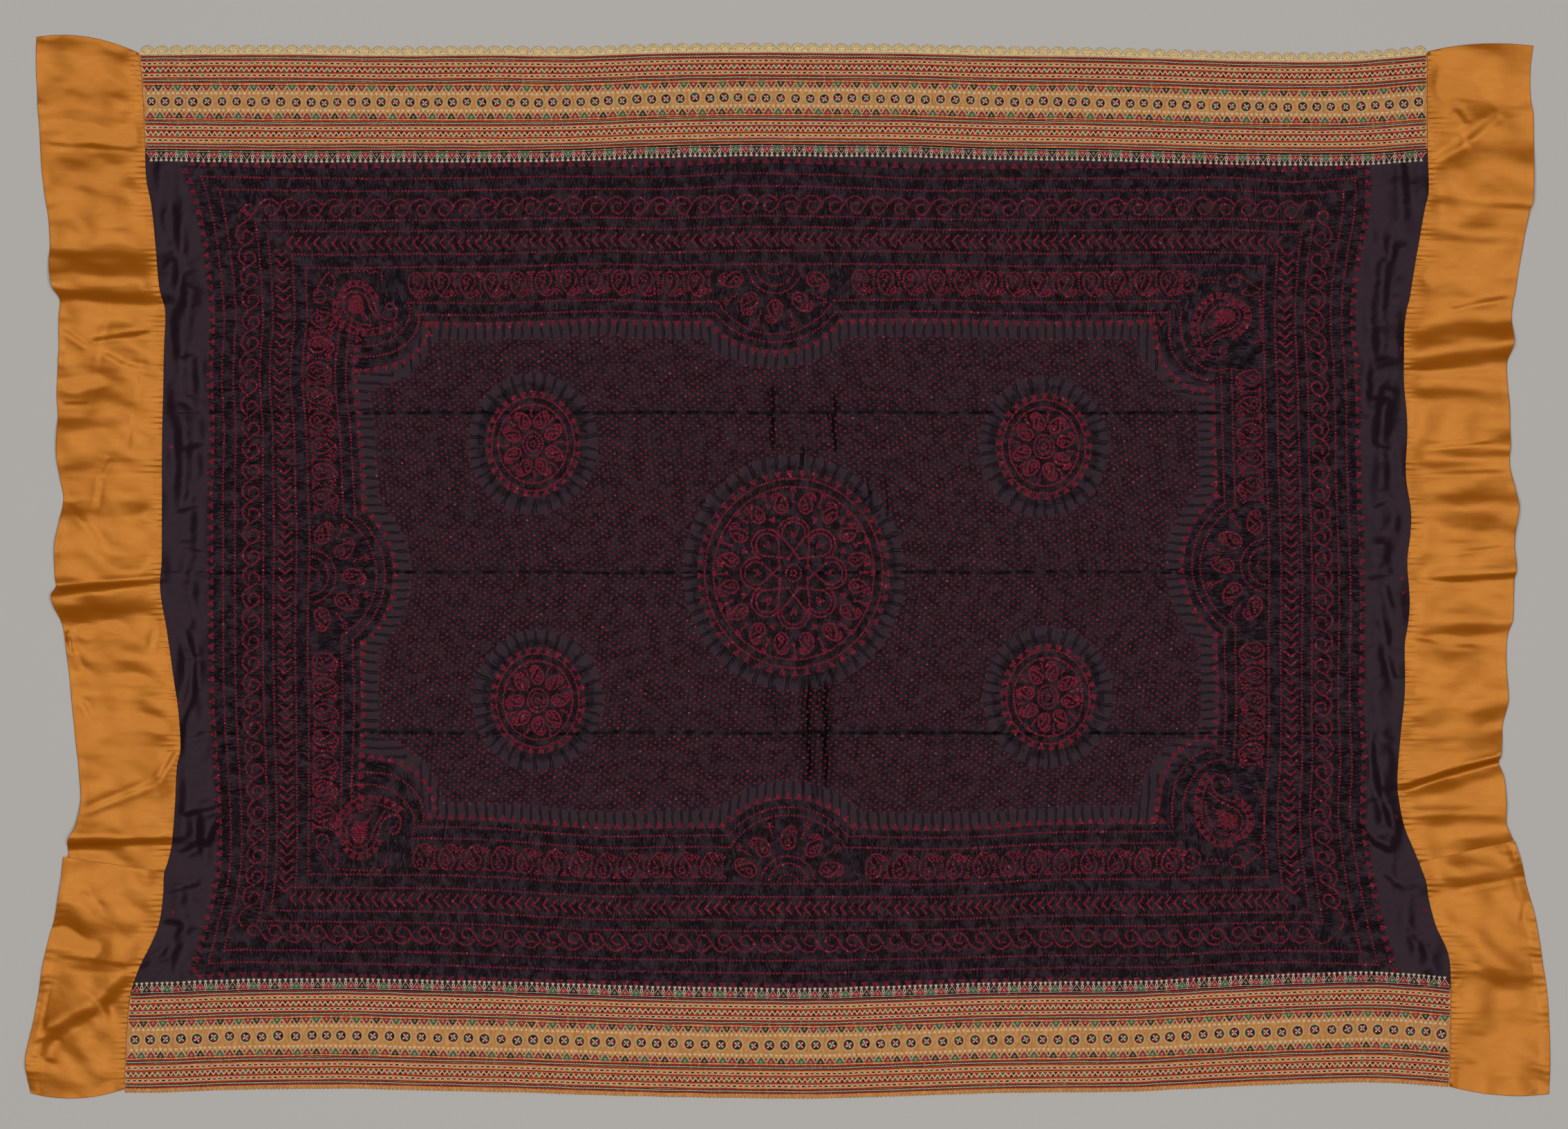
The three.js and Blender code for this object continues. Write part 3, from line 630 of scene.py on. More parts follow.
def layFrame():
    for share in lineShares:
        for side in sideNames:
            start, end = sideSpan(side, share)
            along = np.linspace(start, end, 240)
            dotLine("frame", onSide(side, along, share))
    for side in sideNames:
        sign = inwardSign[side]
        lengthwise = side in ("top", "bottom")
        start, end = sideSpan(side, 0.0)
        outer = onSide(side, np.linspace(start + 6, end - 6, 300), -0.012)
        trianglesAlong("frame", outer, 15.7, -sign if lengthwise else sign)
        # running scroll, dots along an S that hooks into itself
        start, end = sideSpan(side, vineShare)
        count = int((end - start - 26) / 30.8)
        pitch = (end - start - 26) / count
        for k in range(count):
            s = start + 8 + pitch * k
            unit = spaced(vineMotif, 3.6)
            addDots("frame", onSide(side, s + unit[:, 0] * pitch / 30.8, vineShare, unit[:, 1]))
        start, end = sideSpan(side, chevronShare)
        count = int((end - start - 16) / 13)
        turn = 1 if side in ("top", "bottom") else -1
        for k in range(count):
            s = start + 8 + (end - start - 16) * (k + 0.5) / count
            addDots("frame", onSide(side, s + turn * chevronMotif[:, 0], chevronShare,
                                    chevronMotif[:, 1]))


# Inner lines of a side run between its corner lobes and swing out round its half medallion.
def layInnerSide(side):
    mx, my = halfMedallions[side]
    lengthwise = side in ("top", "bottom")
    middle = mx if lengthwise else my
    sign = inwardSign[side]
    ends = {"top": (148, 124), "bottom": (150, 126), "left": (62, 72), "right": (148, 168)}[side]

    # two lines of dots, then a row of triangles
    def follow(number, path):
        if number < 2:
            dotLine("frame", path)
        else:
            trianglesAlong("frame", path, 15, sign if lengthwise else -sign)

    for number, (share, reach, stretch) in enumerate(((0.87, 98, 0), (0.945, 110, 12),
                                                      (1.0, 123, 26))):
        start, end = sideSpan(side, innerShare)
        start, end = start + ends[0] + stretch, end - ends[1] - stretch
        rise = abs(float(acrossAt(side, middle, share)) - (my if lengthwise else mx))
        half = np.sqrt(max(reach ** 2 - rise ** 2, 1))
        for a, b in ((start, middle - half - 3), (middle + half + 3, end)):
            follow(number, onSide(side, np.linspace(a, b, 120), share))
        swing = np.degrees(np.arcsin(half / reach))
        turn = np.radians(np.linspace(-swing, swing, 60))
        along, inward = reach * np.sin(turn), reach * np.cos(turn)
        follow(number, np.c_[mx + along, my + sign * inward] if lengthwise
               else np.c_[mx + sign * inward, my + along])
    # teardrops in the row between, round heads outwards
    start, end = sideSpan(side, innerShare)
    for a, b in ((start + ends[0] - 6, middle - 96), (middle + 104, end - ends[1] + 4)):
        count = max(int((b - a) / 36), 1)
        for k in range(count):
            s = mix(a, b, (k + 0.5) / count)
            place = onSide(side, [s], dropShare, -4)[0]
            gap = onSide(side, [mix(a, b, (k + 1) / count)], dropShare, -4)[0]
            down = {"top": np.pi / 2, "bottom": -np.pi / 2, "left": 0.0, "right": np.pi}[side]
            mirror = 1 if side in ("top", "right") else -1
            addDots("frame", setDown(dropMotif, *place, down, mirror))
            addDots("frame", setDown(gapMotif, *gap, down, mirror))
    # half flower and five teardrops inside the swing
    facing = {"top": 90, "bottom": -90, "left": 0, "right": 180}[side]
    for radius in (28, 39):
        dotLine("frame", roundPath(mx, my, radius, radius, facing - 80, facing + 80), 4.3)
    dotLine("frame", roundPath(mx, my, 15, 12, facing - 80, facing + 80), 4.6)
    for k in range(5):
        angle = np.radians(facing - 72 + 36 * k)
        x, y = mx + 60 * np.cos(angle), my + 60 * np.sin(angle)
        addDots("frame", setDown(dropMotif, x, y, angle, 1 if k % 2 else -1, 0.92))
        angle += np.radians(18)
        if k < 4:
            x, y = mx + 72 * np.cos(angle), my + 72 * np.sin(angle)
            addDots("frame", setDown(gapMotif[6:], x, y, angle, 1, 0.9))


def layLobes():
    for lobe in cornerLobes:
        across, down, tail = lobe[:3]
        # on which side of the path the triangles stand
        handed = 1 if (tail == "x") == ((across == "top") == (down == "left")) else -1
        for line in (lobeLine, lobeSecond):
            dotLine("frame", inLobe(lobe, smoothPath(line)))
        trianglesAlong("frame", inLobe(lobe, smoothPath(lobeTriangles)), 14, -handed)
        for line in botehLines:
            dotLine("frame", inLobe(lobe, smoothPath(line, 120)), 4.2)
        rows, columns = np.meshgrid(np.arange(-9, 14), np.arange(-8, 9))
        fill = np.c_[(columns * 3.4 + (rows % 2) * 1.7 + 76).ravel(), (rows * 3.0 + 56).ravel()]
        head = ((fill[:, 0] - 73) / 11.5) ** 2 + ((fill[:, 1] - 53) / 14) ** 2 < 1
        lean = fill[:, 0] - 78 - (fill[:, 1] - 60) * 0.85
        tailPart = (fill[:, 1] > 55) & (fill[:, 1] < 76) & (np.abs(lean) < (78 - fill[:, 1]) * 0.4)
        addDots("frame", inLobe(lobe, fill[head | tailPart]))
        around = smoothPath([(40, 50), (40, 66), (48, 80), (62, 91), (80, 97), (100, 97),
                             (118, 92), (132, 84)])
        trianglesAlong("frame", inLobe(lobe, around), 12.5, -handed)
        above = smoothPath([(48, 40), (54, 28), (66, 19.5), (80, 20), (94, 28), (103, 40)])
        trianglesAlong("frame", inLobe(lobe, above), 12.5, handed)
        for x, y, r in ((21, 42, 8.5), (24, 102, 12)):
            dotLine("frame", inLobe(lobe, roundPath(x, y, r, r)), 4.2)
        for line in ([(12, 36), (22, 22), (33, 7)], [(38, 10), (42, 18), (40, 31), (32, 25)]):
            dotLine("frame", inLobe(lobe, smoothPath(line)), 4)
        addDots("frame", inLobe(lobe, [(24, 100), (27, 104), (21, 105), (18, 100)]))
        addDots("frame", inLobe(lobe, [(17 + 5.5 * (k % 2), 60 + 3 * k) for k in range(9)]))
        dotLine("frame", inLobe(lobe, smoothPath([(44, 7), (66, 5), (90, 4)])), 6)
        dotLine("frame", inLobe(lobe, smoothPath([(94, 8), (100, 5), (108, 8), (111, 17)])), 4.4)


def layCentre():
    cx, cy = centreMedallion
    tall = 1.07
    dotRings("rings", cx, cy, ((116, 125), (128.5, 137)), 4.0, 241)
    trianglesAlong("rings", roundPath(cx, cy, 138, 147, 0, 350, 200), 18.4, 1)
    for k in range(8):
        out = 45 * k
        a = np.radians(out)
        x, y = cx + 54 * np.cos(a), cy + 54 * tall * np.sin(a)
        for radius, reach in ((16.5, 118), (22.5, 104)):
            dotLine("rings", roundPath(x, y, radius, radius, out - reach, out + reach), 3.6)
        for side in (-1, 1):
            end = np.radians(out + side * 118)
            crossed = np.radians(out - side * 26)
            dotLine("rings", [(x + 16.5 * np.cos(end), y + 16.5 * np.sin(end)),
                              (cx + 21 * np.cos(crossed), cy + 21 * tall * np.sin(crossed))], 3.6)
        addDots("rings", setDown(triangleMotif, x, y, a + np.pi, 1, 1.1))
        addDots("rings", setDown(np.array([(-4, 3), (4, 3)]), x, y, a, 1))
        a = np.radians(out + 22.5)
        x, y = cx + 80 * np.cos(a), cy + 80 * tall * np.sin(a)
        addDots("rings", setDown(triangleMotif, x, y, a + np.pi, 1, 1.0))
    teardropsRound("rings", cx, cy, [np.radians(22.5 * k + 11) for k in range(16)],
                   (92, 92 * tall, 0.84), (102, 102 * tall, 0.72), gapMotif[4:], 11.2, 3)
    dotRings("rings", cx, cy, ((11, 12), (4, 4)), 4.6)


def laySmall():
    for number, (cx, cy) in enumerate(medallions):
        dotRings("rings", cx, cy, ((50, 57), (60, 68)), 4.0, 141)
        trianglesAlong("rings", roundPath(cx, cy, 67.5, 75.5, 0, 345, 141), 15.6, 1)
        dotRings("rings", cx, cy, ((14.5, 17), (9, 11), (3.4, 3.4)), 4.1)
        angles = [np.radians(45 * k + 20 + 12 * number) for k in range(8)]
        teardropsRound("rings", cx, cy, angles, (29, 33, 0.72), (38, 43, 0.7), gapMotif[6:12], 22)


# Where the plain ground's lattice may lie: 1 inside it, falling to 0 at its edge.
def groundMask(x, y):
    inset = np.minimum.reduce([
        x - acrossAt("left", y, 1.0), acrossAt("right", y, 1.0) - x,
        y - acrossAt("top", x, 1.0), acrossAt("bottom", x, 1.0) - y]) - 22
    for mx, my in halfMedallions.values():
        inset = np.minimum(inset, np.hypot(x - mx, y - my) - 146)
    for mx, my in medallions:
        inset = np.minimum(inset, (np.hypot((x - mx) / 92, (y - my) / 100) - 1) * 92)
    mx, my = centreMedallion
    inset = np.minimum(inset, (np.hypot((x - mx) / 158, (y - my) / 168) - 1) * 158)
    for lobe in cornerLobes:
        origin, *axes = lobeFrame(lobe)
        da, db = [((x - origin[0]) * axis[0] + (y - origin[1]) * axis[1]) / (axis @ axis)
                  for axis in axes]
        inset = np.minimum(inset, (np.hypot((da - 80) / 118, (db - 50) / 124) - 1) * 118)
    return inset


foldRows = (597, 828, 1060)     # the tie folds, where the dots' slant turns over


def layGround():
    for top, bottom, slant in ((440, 597, 1), (597, 828, 1), (828, 1060, -1), (1060, 1225, -1)):
        rows = np.arange(top + 4.5, bottom - 3, 4.6)
        for number, y in enumerate(rows):
            x = np.arange(500, 1780, 13.2) + (number % 2) * 6.6 + slant * (y - top) * 0.12
            y = y + 0 * x
            points = np.c_[x + 2.0 * drift(x, y, 160, 31), y + 1.6 * drift(x, y, 190, 32)]
            points = points[(points[:, 1] > top + 3) & (points[:, 1] < bottom - 3)]
            addDots("ground", points[groundMask(points[:, 0], points[:, 1]) > 0])


strayDots = [(247, 645), (259, 1017), (253, 1020), (253, 1176), (250, 1318), (2026, 503),
             (2030, 692), (2027, 836), (2028, 855), (2031, 1007), (2019, 1180), (2060, 1315)]
layFrame()
for sideName in sideNames:
    layInnerSide(sideName)
layLobes()
layCentre()
laySmall()
layGround()
for place in strayDots:
    addDots("frame", np.array(place) + np.array([(0, 0), (2.4, 1.2), (0.4, 3.1)]))
dotSets = {key: np.vstack(parts) for key, parts in dotSets.items()}
print("dots laid out:", {key: len(value) for key, value in dotSets.items()})


# ---- the dark cloth's mesh
# Place on the cloth from u across and w down, between the seams and the bands' edges.
def fieldPlace(u, w):
    x, y = mix(-780.0, 770.0, u), mix(520.0, -525.0, w)
    for _ in range(4):
        y = mix(topLowerY(x) - halfGap, bottomUpperY(x) + halfGap, w)
        x = mix(leftSeamX(y) + halfGap, rightSeamX(y) - halfGap, u)
    return x, y


def fieldShares(x, y):
    u = (x - leftSeamX(y) - halfGap) / (rightSeamX(y) - leftSeamX(y) - 2 * halfGap)
    w = (y - topLowerY(x) + halfGap) / (bottomUpperY(x) - topLowerY(x) + 2 * halfGap)
    return u, w


# the halo round each medallion: its middle, its half width and height, and its count of folds
haloRings = [(*centreMedallion, 150, 160, 50)] + [(*place, 82, 90, 32) for place in medallions]
# deep creases: x0 y0 x1 y1 on the dyed grid, half their width, and depth
deepCreases = [(1171, 970, 1169, 1145, 4.0, 0.9), (1195, 970, 1193, 1145, 4.5, 1.0),
               (1118, 982, 1120, 1060, 3.0, 0.35), (1118, 545, 1118, 660, 3.5, 0.6),
               (1207, 560, 1206, 665, 3.5, 0.6), (1159, 640, 1160, 680, 3.0, 0.4),
               (1255, 665, 1262, 750, 3.0, 0.35), (1281, 690, 1286, 755, 3.0, 0.35)]


# Folds that run out from the rings, as many as their triangles, and square to the ground's edge
# elsewhere: upright along it above and below, level beside it.
def haloFolds(x, y, beside):
    gx, gy = toGrid(x, y)
    phase = mix(gx, gy, beside) * 6.28 / 13.5 + 1.5 * drift(x, y, 120, 5)
    band = ease(1.7 - np.abs(groundMask(gx, gy) + 10) / 9)
    for mx, my, rx, ry, count in haloRings:
        away = np.hypot((gx - mx) / rx, (gy - my) / ry)
        turn = np.arctan2(gy - my, gx - mx)
        ringBand = ease(1.7 - np.abs(away - 1) * rx / 10)
        phase = np.where(ringBand > 0.01, turn * count + 2.5 * np.sin(turn * 3 + mx), phase)
        band = np.where(ringBand > 0.01, ringBand, band)
    # no folds where the count starts over
    down, along = np.gradient(phase)
    return phase, band * (np.abs(down) < 2.5) * (np.abs(along) < 2.5)


# How much of each kind of wrinkle a place has: upright, level and slanting both ways. Beside
# them the distance from the nearest crease in widths with how much of it is there, and the
# phase and strength of the halos' folds.
def fieldZones(x, y):
    gx, gy = toGrid(x, y)
    shares = []
    for side in ("left", "right", "top", "bottom"):
        along, across = (gy, gx) if side in ("left", "right") else (gx, gy)
        outer, inner = sideEdge[side][0](along), sideEdge[side][1](along)
        shares.append((across - outer) / (inner - outer))
    beside = np.minimum(shares[0], shares[1])
    above = np.minimum(shares[2], shares[3])
    inside = ease((np.minimum(beside, above) + 0.06) / 0.05)
    ground = groundMask(gx, gy)
    lattice = ease(ground / 6)
    framed = inside * (1 - ease((ground + 30) / 12))
    upright = framed * ease((beside - above) * 8 + 0.5)
    # tie folds across and deep creases down
    away, part = np.full_like(x, 5.0), np.zeros_like(x)
    for row in foldRows:
        far = (gy - row - 1.5 * drift(x, y * 0, 200, row)) / 2.6
        closer = np.abs(far) < np.abs(away)
        away = np.where(closer, far, away)
        puckered = (0.1 + 0.4 * inside) * np.clip(0.7 + 0.9 * drift(x, y * 0, 16, row), 0, 1)
        part = np.where(closer, puckered, part)
    for x0, y0, x1, y1, width, depth in deepCreases:
        across, t = segmentNear(gx, gy, x0, y0, x1, y1)
        far = (across + 2.0 * drift(x, y, 34, x0)) / width
        closer = (np.abs(far) < np.minimum(np.abs(away), 3.0)) & (t > 0) & (t < 1)
        away = np.where(closer, far, away)
        part = np.where(closer, depth * ease(np.minimum(t, 1 - t) * 5), part)
    part = part * (np.abs(away) < 1.9)
    besideEdge = ease((beside - above) * -8 + 0.5)
    phase, band = haloFolds(x, y, besideEdge)
    ring = np.zeros_like(x)
    for mx, my, rx, ry, _ in haloRings:
        ring = np.maximum(ring, ease((1.04 - np.hypot((gx - mx) / rx, (gy - my) / ry)) * 12))
    return {"upright": np.maximum(upright, ring * 0.6),
            "level": np.maximum(framed - upright, ring * 0.6),
            "rising": lattice * (gy >= foldRows[1]), "falling": lattice * (gy < foldRows[1]),
            "creaseAway": away, "creasePart": part, "haloPhase": phase, "haloBand": band}


# soft folds of the loose cloth by the seams, laid out like the creases
marginFolds = [
    (268, 905, 284, 955, 7, 1.5), (284, 955, 282, 1000, 7, 1.7), (282, 1000, 266, 1045, 7, 1.7),
    (244, 947, 301, 948, 4, 0.7), (266, 1045, 262, 1085, 6, 1.2), (258, 1070, 300, 1060, 5, 0.9),
    (262, 1180, 318, 1166, 7, 1.5), (300, 1222, 322, 1180, 8, 1.9), (256, 1235, 300, 1215, 7, 1.4),
    (240, 1292, 296, 1276, 6, 1.2), (236, 1330, 290, 1345, 8, 0.9), (225, 1390, 280, 1340, 7, 1.0),
    (262, 420, 300, 432, 6, 0.9), (250, 300, 262, 380, 8, 0.9), (256, 520, 292, 508, 6, 1.0),
    (262, 575, 296, 592, 6, 1.0), (258, 650, 300, 641, 6, 0.8), (255, 742, 292, 730, 6, 0.9),
    (262, 790, 300, 800, 6, 0.9), (1996, 900, 2003, 935, 7, 1.6), (2003, 935, 2018, 985, 8, 1.7),
    (1978, 1058, 2022, 1082, 5, 0.9), (1984, 1065, 1987, 1110, 7, 1.8),
    (1987, 1110, 1998, 1158, 8, 1.9), (1998, 1158, 2016, 1205, 8, 1.7),
    (1964, 1190, 1984, 1216, 7, 1.6), (1984, 1216, 2012, 1232, 7, 1.4),
    (2000, 1262, 2030, 1290, 8, 1.0), (2036, 1340, 2060, 1380, 8, 1.0),
    (1990, 300, 2010, 380, 9, 1.0), (1980, 470, 2022, 458, 6, 0.9), (1975, 560, 2018, 574, 6, 1.0),
    (1985, 640, 2012, 652, 6, 0.9), (1980, 735, 2020, 722, 6, 0.9), (1990, 790, 2020, 806, 6, 0.9),
    (2006, 845, 2014, 880, 7, 1.2)]


# The cloth's height: folds, the satin's lift, and puckers that the ties left in each zone.
def fieldHeight(x, y):
    gx, gy = toGrid(x, y)
    height = fieldCloth["height"] + edgeLift(x, y) + foldHeight(x, y)
    ground = groundMask(gx, gy)
    uneven = 0.6 + 0.4 * drift(x, y, 90, 3)
    zones = fieldZones(x, y)
    halo = np.sin(zones["haloPhase"]) * zones["haloBand"]
    height = height + fieldCloth["haloFold"] * halo * uneven
    for x0, y0, x1, y1, width, depth in deepCreases:
        away, t = segmentNear(gx, gy, x0, y0, x1, y1)
        across = away / (width + 2)
        height += 4.5 * depth * np.abs(across) * np.exp(-across * across) * ease(
            np.minimum(t, 1 - t) * 6) * (np.abs(away) < 30)
    # lattice: small hills between the dots, squeezed along their slant
    slant = np.where(gy < foldRows[1], 1.0, -1.0)
    hills = np.sin(gx * 6.28 / 13.2 + slant * gy * 6.28 / 9.2) + 0.6 * np.sin(gx * 6.28 / 13.2)
    height = height + fieldCloth["latticeFold"] * hills * ease(ground / 10) * uneven
    # loose cloth beside the seams
    loose = np.minimum(x - leftSeamX(y), rightSeamX(y) - x)
    slack = ease(1 - np.abs(loose - 30) / 45)
    height = height + slack * (1.6 + 3.6 * drift(x * 1.5, y * 0.6, 60, 8)
                               + 0.8 * drift(x * 1.3, y * 2.4, 36, 9)
                               + 2.4 * drift(x * 2.5, y * 0.6, 60, 12))
    for x0, y0, x1, y1, halfWidth, rise in marginFolds:
        near = (np.abs(gx - (x0 + x1) / 2) < 60) & (np.abs(gy - (y0 + y1) / 2) < 60)
        away, t = segmentNear(gx[near], gy[near], x0, y0, x1, y1)
        across = away / halfWidth
        height[near] += 3.2 * rise * across * np.exp(-across * across) * ease(
            np.minimum(t, 1 - t) * 4 + 0.3)
    return np.maximum(height, 0.25)


def buildField():
    columns, rows = int(1560 / fieldCloth["pitch"]), int(1040 / fieldCloth["pitch"])
    u, w = np.meshgrid(np.linspace(0, 1, columns), np.linspace(0, 1, rows))
    x, y = fieldPlace(u, w)
    return x, y, fieldHeight(x, y)


fieldX, fieldY, fieldZ = buildField()


# Height of the meshed cloth at any place.
def onField(x, y):
    u, w = fieldShares(x, y)
    return sampled(fieldZ, w, u)


# Dark brown-black silk with painted shade in its creases: the colour darkens in the deepest of the
# four kinds of wrinkle, in clusters, then in the halos' thin creases, and in grooves along the tie
# folds and deep creases.
def makeDarkSilk():
    material, tree, shader = newMaterial("darkSilk", Roughness=0.35, Specular_IOR_Level=0.175,
                                         Specular_Tint=(0.80, 0.55, 0.66, 1))
    place = objectPlace(tree)
    zone = {name: attributeValue(tree, name) for name in (
        "upright", "level", "rising", "falling", "haloPhase", "haloBand", "creaseAway",
        "creasePart")}
    total = None
    for name, turn, across, length in (("upright", 0.0, 3.4, 4.5), ("level", 1.5708, 3.4, 4.5),
                                       ("rising", 0.95, 3.0, 2.0), ("falling", -0.95, 3.0, 2.0)):
        wrinkle = wrinklesAt(tree, place, turn, across, length)
        part = times(tree, minus(tree, 1.0, wrinkle), zone[name])
        total = part if total is None else most(tree, total, part)
    # the creases come in clusters, with smoother cloth between
    gathered = times(tree, minus(tree, patchesAt(tree, place, 16.0), 0.36), 5.0)
    gathered = least(tree, most(tree, gathered, 0.3), 1.0)
    inGround = plus(tree, zone["rising"], zone["falling"])
    gathered = most(tree, gathered, times(tree, inGround, 0.55))
    total = times(tree, total, gathered)
    total = times(tree, total, minus(tree, 1.0, times(tree, inGround, 0.42)))
    weave = weaveAt(tree, place, 0.6)
    # thin uneven creases across the halos
    sway = patchesAt(tree, place, 9.0)
    phase = plus(tree, zone["haloPhase"], times(tree, sway, 3.2))
    crease = times(tree, minus(tree, sine(tree, phase), 0.7), 4.5)
    crease = times(tree, least(tree, most(tree, crease, 0.0), 1.0), zone["haloBand"])
    # deep creases and tie folds, sharpest along their middle
    away = plus(tree, zone["creaseAway"], times(tree, minus(tree, sway, 0.5), 2.2))
    groove = most(tree, minus(tree, 1.15, absolute(tree, away)), 0.0)
    groove = times(tree, groove, zone["creasePart"])
    pressed = plus(tree, plus(tree, total, crease), times(tree, groove, 3.0))
    height = plus(tree, times(tree, pressed, -1.0), times(tree, weave.outputs["Height"], 0.1))
    addBump(tree, shader, height, fieldCloth["fineWrinkle"])
    base = mixColour(tree, patchesAt(tree, place, 45.0), (0.007, 0.003, 0.005, 1),
                     (0.013, 0.007, 0.010, 1))
    slubbed = mixColour(tree, times(tree, weave.outputs["Slub"], 0.5), base,
                        (0.016, 0.010, 0.014, 1))
    # painted shade: the wrinkles, the halos' creases and the grooves darken the silk's colour
    paintedShade = most(tree, times(tree, total, 0.9), crease)
    paintedShade = least(tree, plus(tree, paintedShade, times(tree, groove, 1.6)), 1.0)
    dark = mixColour(tree, paintedShade, slubbed, (0.001, 0.0014, 0.0014, 1))
    tree.links.new(dark, shader.inputs["Base Color"])
    return material


darkSilk = makeDarkSilk()
rowCount, columnCount = fieldZ.shape
cuts = [0, rowCount // 2, rowCount - 1]
fieldU, fieldW = np.meshgrid(np.linspace(0, 1, columnCount), np.linspace(0, 1, rowCount))
zones = fieldZones(fieldX, fieldY)
for number, (first, last) in enumerate(zip(cuts[:-1], cuts[1:])):
    part = (slice(first, last + 1), slice(None))
    points = np.stack([fieldX[part], fieldY[part], fieldZ[part]], -1).reshape(-1, 3)
    makePiece(
        f"field_{('upper', 'lower')[number]}", points, gridFaces(last + 1 - first, columnCount),
        darkSilk, "dark_silk", ["field"],
        uv=np.stack([fieldU[part], 1 - fieldW[part]], -1).reshape(-1, 2),
        values={key: value[part] for key, value in zones.items()})
print("dark cloth:", rowCount, "by", columnCount)


# ---- dyed dots, each the little peak that a tie leaves
def makeDotDye():
    material, tree, shader = newMaterial("dotDye", Roughness=0.62, Specular_IOR_Level=0.1)
    tone, rim = attributeValue(tree, "tone"), attributeValue(tree, "rim")
    bright = mixColour(tree, tone, (0.10, 0.003, 0.011, 1), (0.28, 0.009, 0.031, 1))
    faded = mixColour(tree, minus(tree, times(tree, tone, 5.0), 4.2), bright,
                      (0.44, 0.05, 0.085, 1))
    edged = mixColour(tree, times(tree, rim, 0.75), faded, (0.07, 0.008, 0.018, 1))
    tree.links.new(edged, shader.inputs["Base Color"])
    addBump(tree, shader, weaveAt(tree, objectPlace(tree), 0.6).outputs["Height"], 0.0001)
    return material


dotDye = makeDotDye()
dotSides = 4
dotAngles = np.arange(dotSides) * 2 * np.pi / dotSides
dotShape = np.vstack([np.c_[np.cos(dotAngles), np.sin(dotAngles), np.full(dotSides, 0.02)],
                      [(0, 0, 0.55)]])
dotFaces = np.array([(k, (k + 1) % dotSides, dotSides) for k in range(dotSides)])
dotSizes = {"frame": 1.72, "rings": 1.75, "ground": 1.66}
for number, (key, places) in enumerate(dotSets.items()):
    rng = np.random.default_rng(60 + number)
    veil = toVeil(places + rng.normal(0, 0.35, places.shape))
    u, w = fieldShares(veil[:, 0], veil[:, 1])
    veil = veil[(u > 0.001) & (u < 0.999) & (w > 0.002) & (w < 0.998)]
    count = len(veil)
    size = dotSizes[key] * rng.uniform(0.82, 1.18, count)
    points, faces = scatter(dotShape, dotFaces, veil[:, 0], veil[:, 1],
                            rng.uniform(0, 6.28, count), size, onField)
    tone = rng.normal(0.45, 0.17, count) + 0.2 * drift(veil[:, 0], veil[:, 1], 60, 77)
    tone = np.clip(tone, 0, 1)
    tone[rng.random(count) < 0.01] = 1.0
    makePiece(f"dots_{key}", points, faces, dotDye, "dark_silk",
              values={"tone": np.repeat(tone, dotSides + 1),
                      "rim": np.tile(np.r_[np.ones(dotSides), 0], count)})
print("dots set down")


# ---- satin
satinCloth = {"height": 1.5, "pitchDown": 2.3, "columns": 50, "gather": 1.05, "gatherPitch": 6.3}
# creases: x0 y0 x1 y1, half width, rise; one side of each stands a little higher
satinCreases = [
    (-919, 524, -797, 519, 5, 1.2), (-894, 296, -862, 273, 5, 1.2), (-862, 281, -785, 293, 4, 1.6),
    (-844, 267, -816, 252, 6, 1.0), (-816, 252, -772, 242, 6, 1.0), (-894, 204, -861, 204, 3, 0.7),
    (-835, 137, -848, 114, 5, 0.9), (-848, 114, -855, 71, 5, 0.9), (-891, 87, -844, 32, 7, 1.0),
    (-890, -76, -886, -103, 7, 1.2), (-890, -82, -870, -127, 5, 1.0),
    (-779, -75, -785, -103, 5, 0.9), (-873, -160, -851, -192, 6, 1.0),
    (-753, -221, -777, -262, 5, 1.3), (-777, -262, -868, -299, 6, 1.4),
    (-868, -395, -847, -422, 6, 1.0), (-869, -463, -857, -484, 5, 0.8),
    (-905, -477, -802, -491, 3, 0.7), (-807, -499, -848, -540, 14, 3.2),
    (-848, -540, -912, -575, 14, 3.6), (-912, -575, -919, -606, 12, 3),
    (-834, 334, -848, 269, 4, 0.5), (-848, 269, -859, 208, 4, 0.5), (-795, 269, -812, 142, 4, 0.5),
    (824, 568, 839, 548, 6, 1.0), (878, 563, 836, 528, 9, 1.6), (836, 528, 793, 502, 9, 1.6),
    (812, 320, 891, 336, 5, 1.1), (760, 241, 870, 243, 5, 1.0), (782, 148, 870, 156, 4, 0.8),
    (765, 115, 888, 121, 4, 0.7), (815, 20, 891, 29, 4, 0.8), (769, -16, 843, -20, 5, 1.0),
    (769, -86, 852, -95, 5, 1.0), (878, -235, 826, -247, 5, 1.5), (826, -247, 754, -273, 6, 1.5),
    (759, -302, 885, -300, 4, 0.9), (824, -398, 911, -382, 4, 0.9), (908, -408, 903, -435, 5, 1.0),
    (818, -488, 855, -492, 5, 0.9), (793, -500, 822, -520, 12, 2.0)]


# Uneven creases: along each line one side is high and the other low, fading at both ends.
def creaseHeight(x, y):
    height = np.zeros_like(x)
    for x0, y0, x1, y1, halfWidth, rise in satinCreases:
        near = ((x > min(x0, x1) - 40) & (x < max(x0, x1) + 40)
                & (y > min(y0, y1) - 40) & (y < max(y0, y1) + 40))
        away, t = segmentNear(x[near], y[near], x0, y0, x1, y1)
        s = away / halfWidth
        height[near] += 1.5 * rise * s * np.exp(-s * s) * ease(np.minimum(t, 1 - t) * 5 + 0.25)
    return height


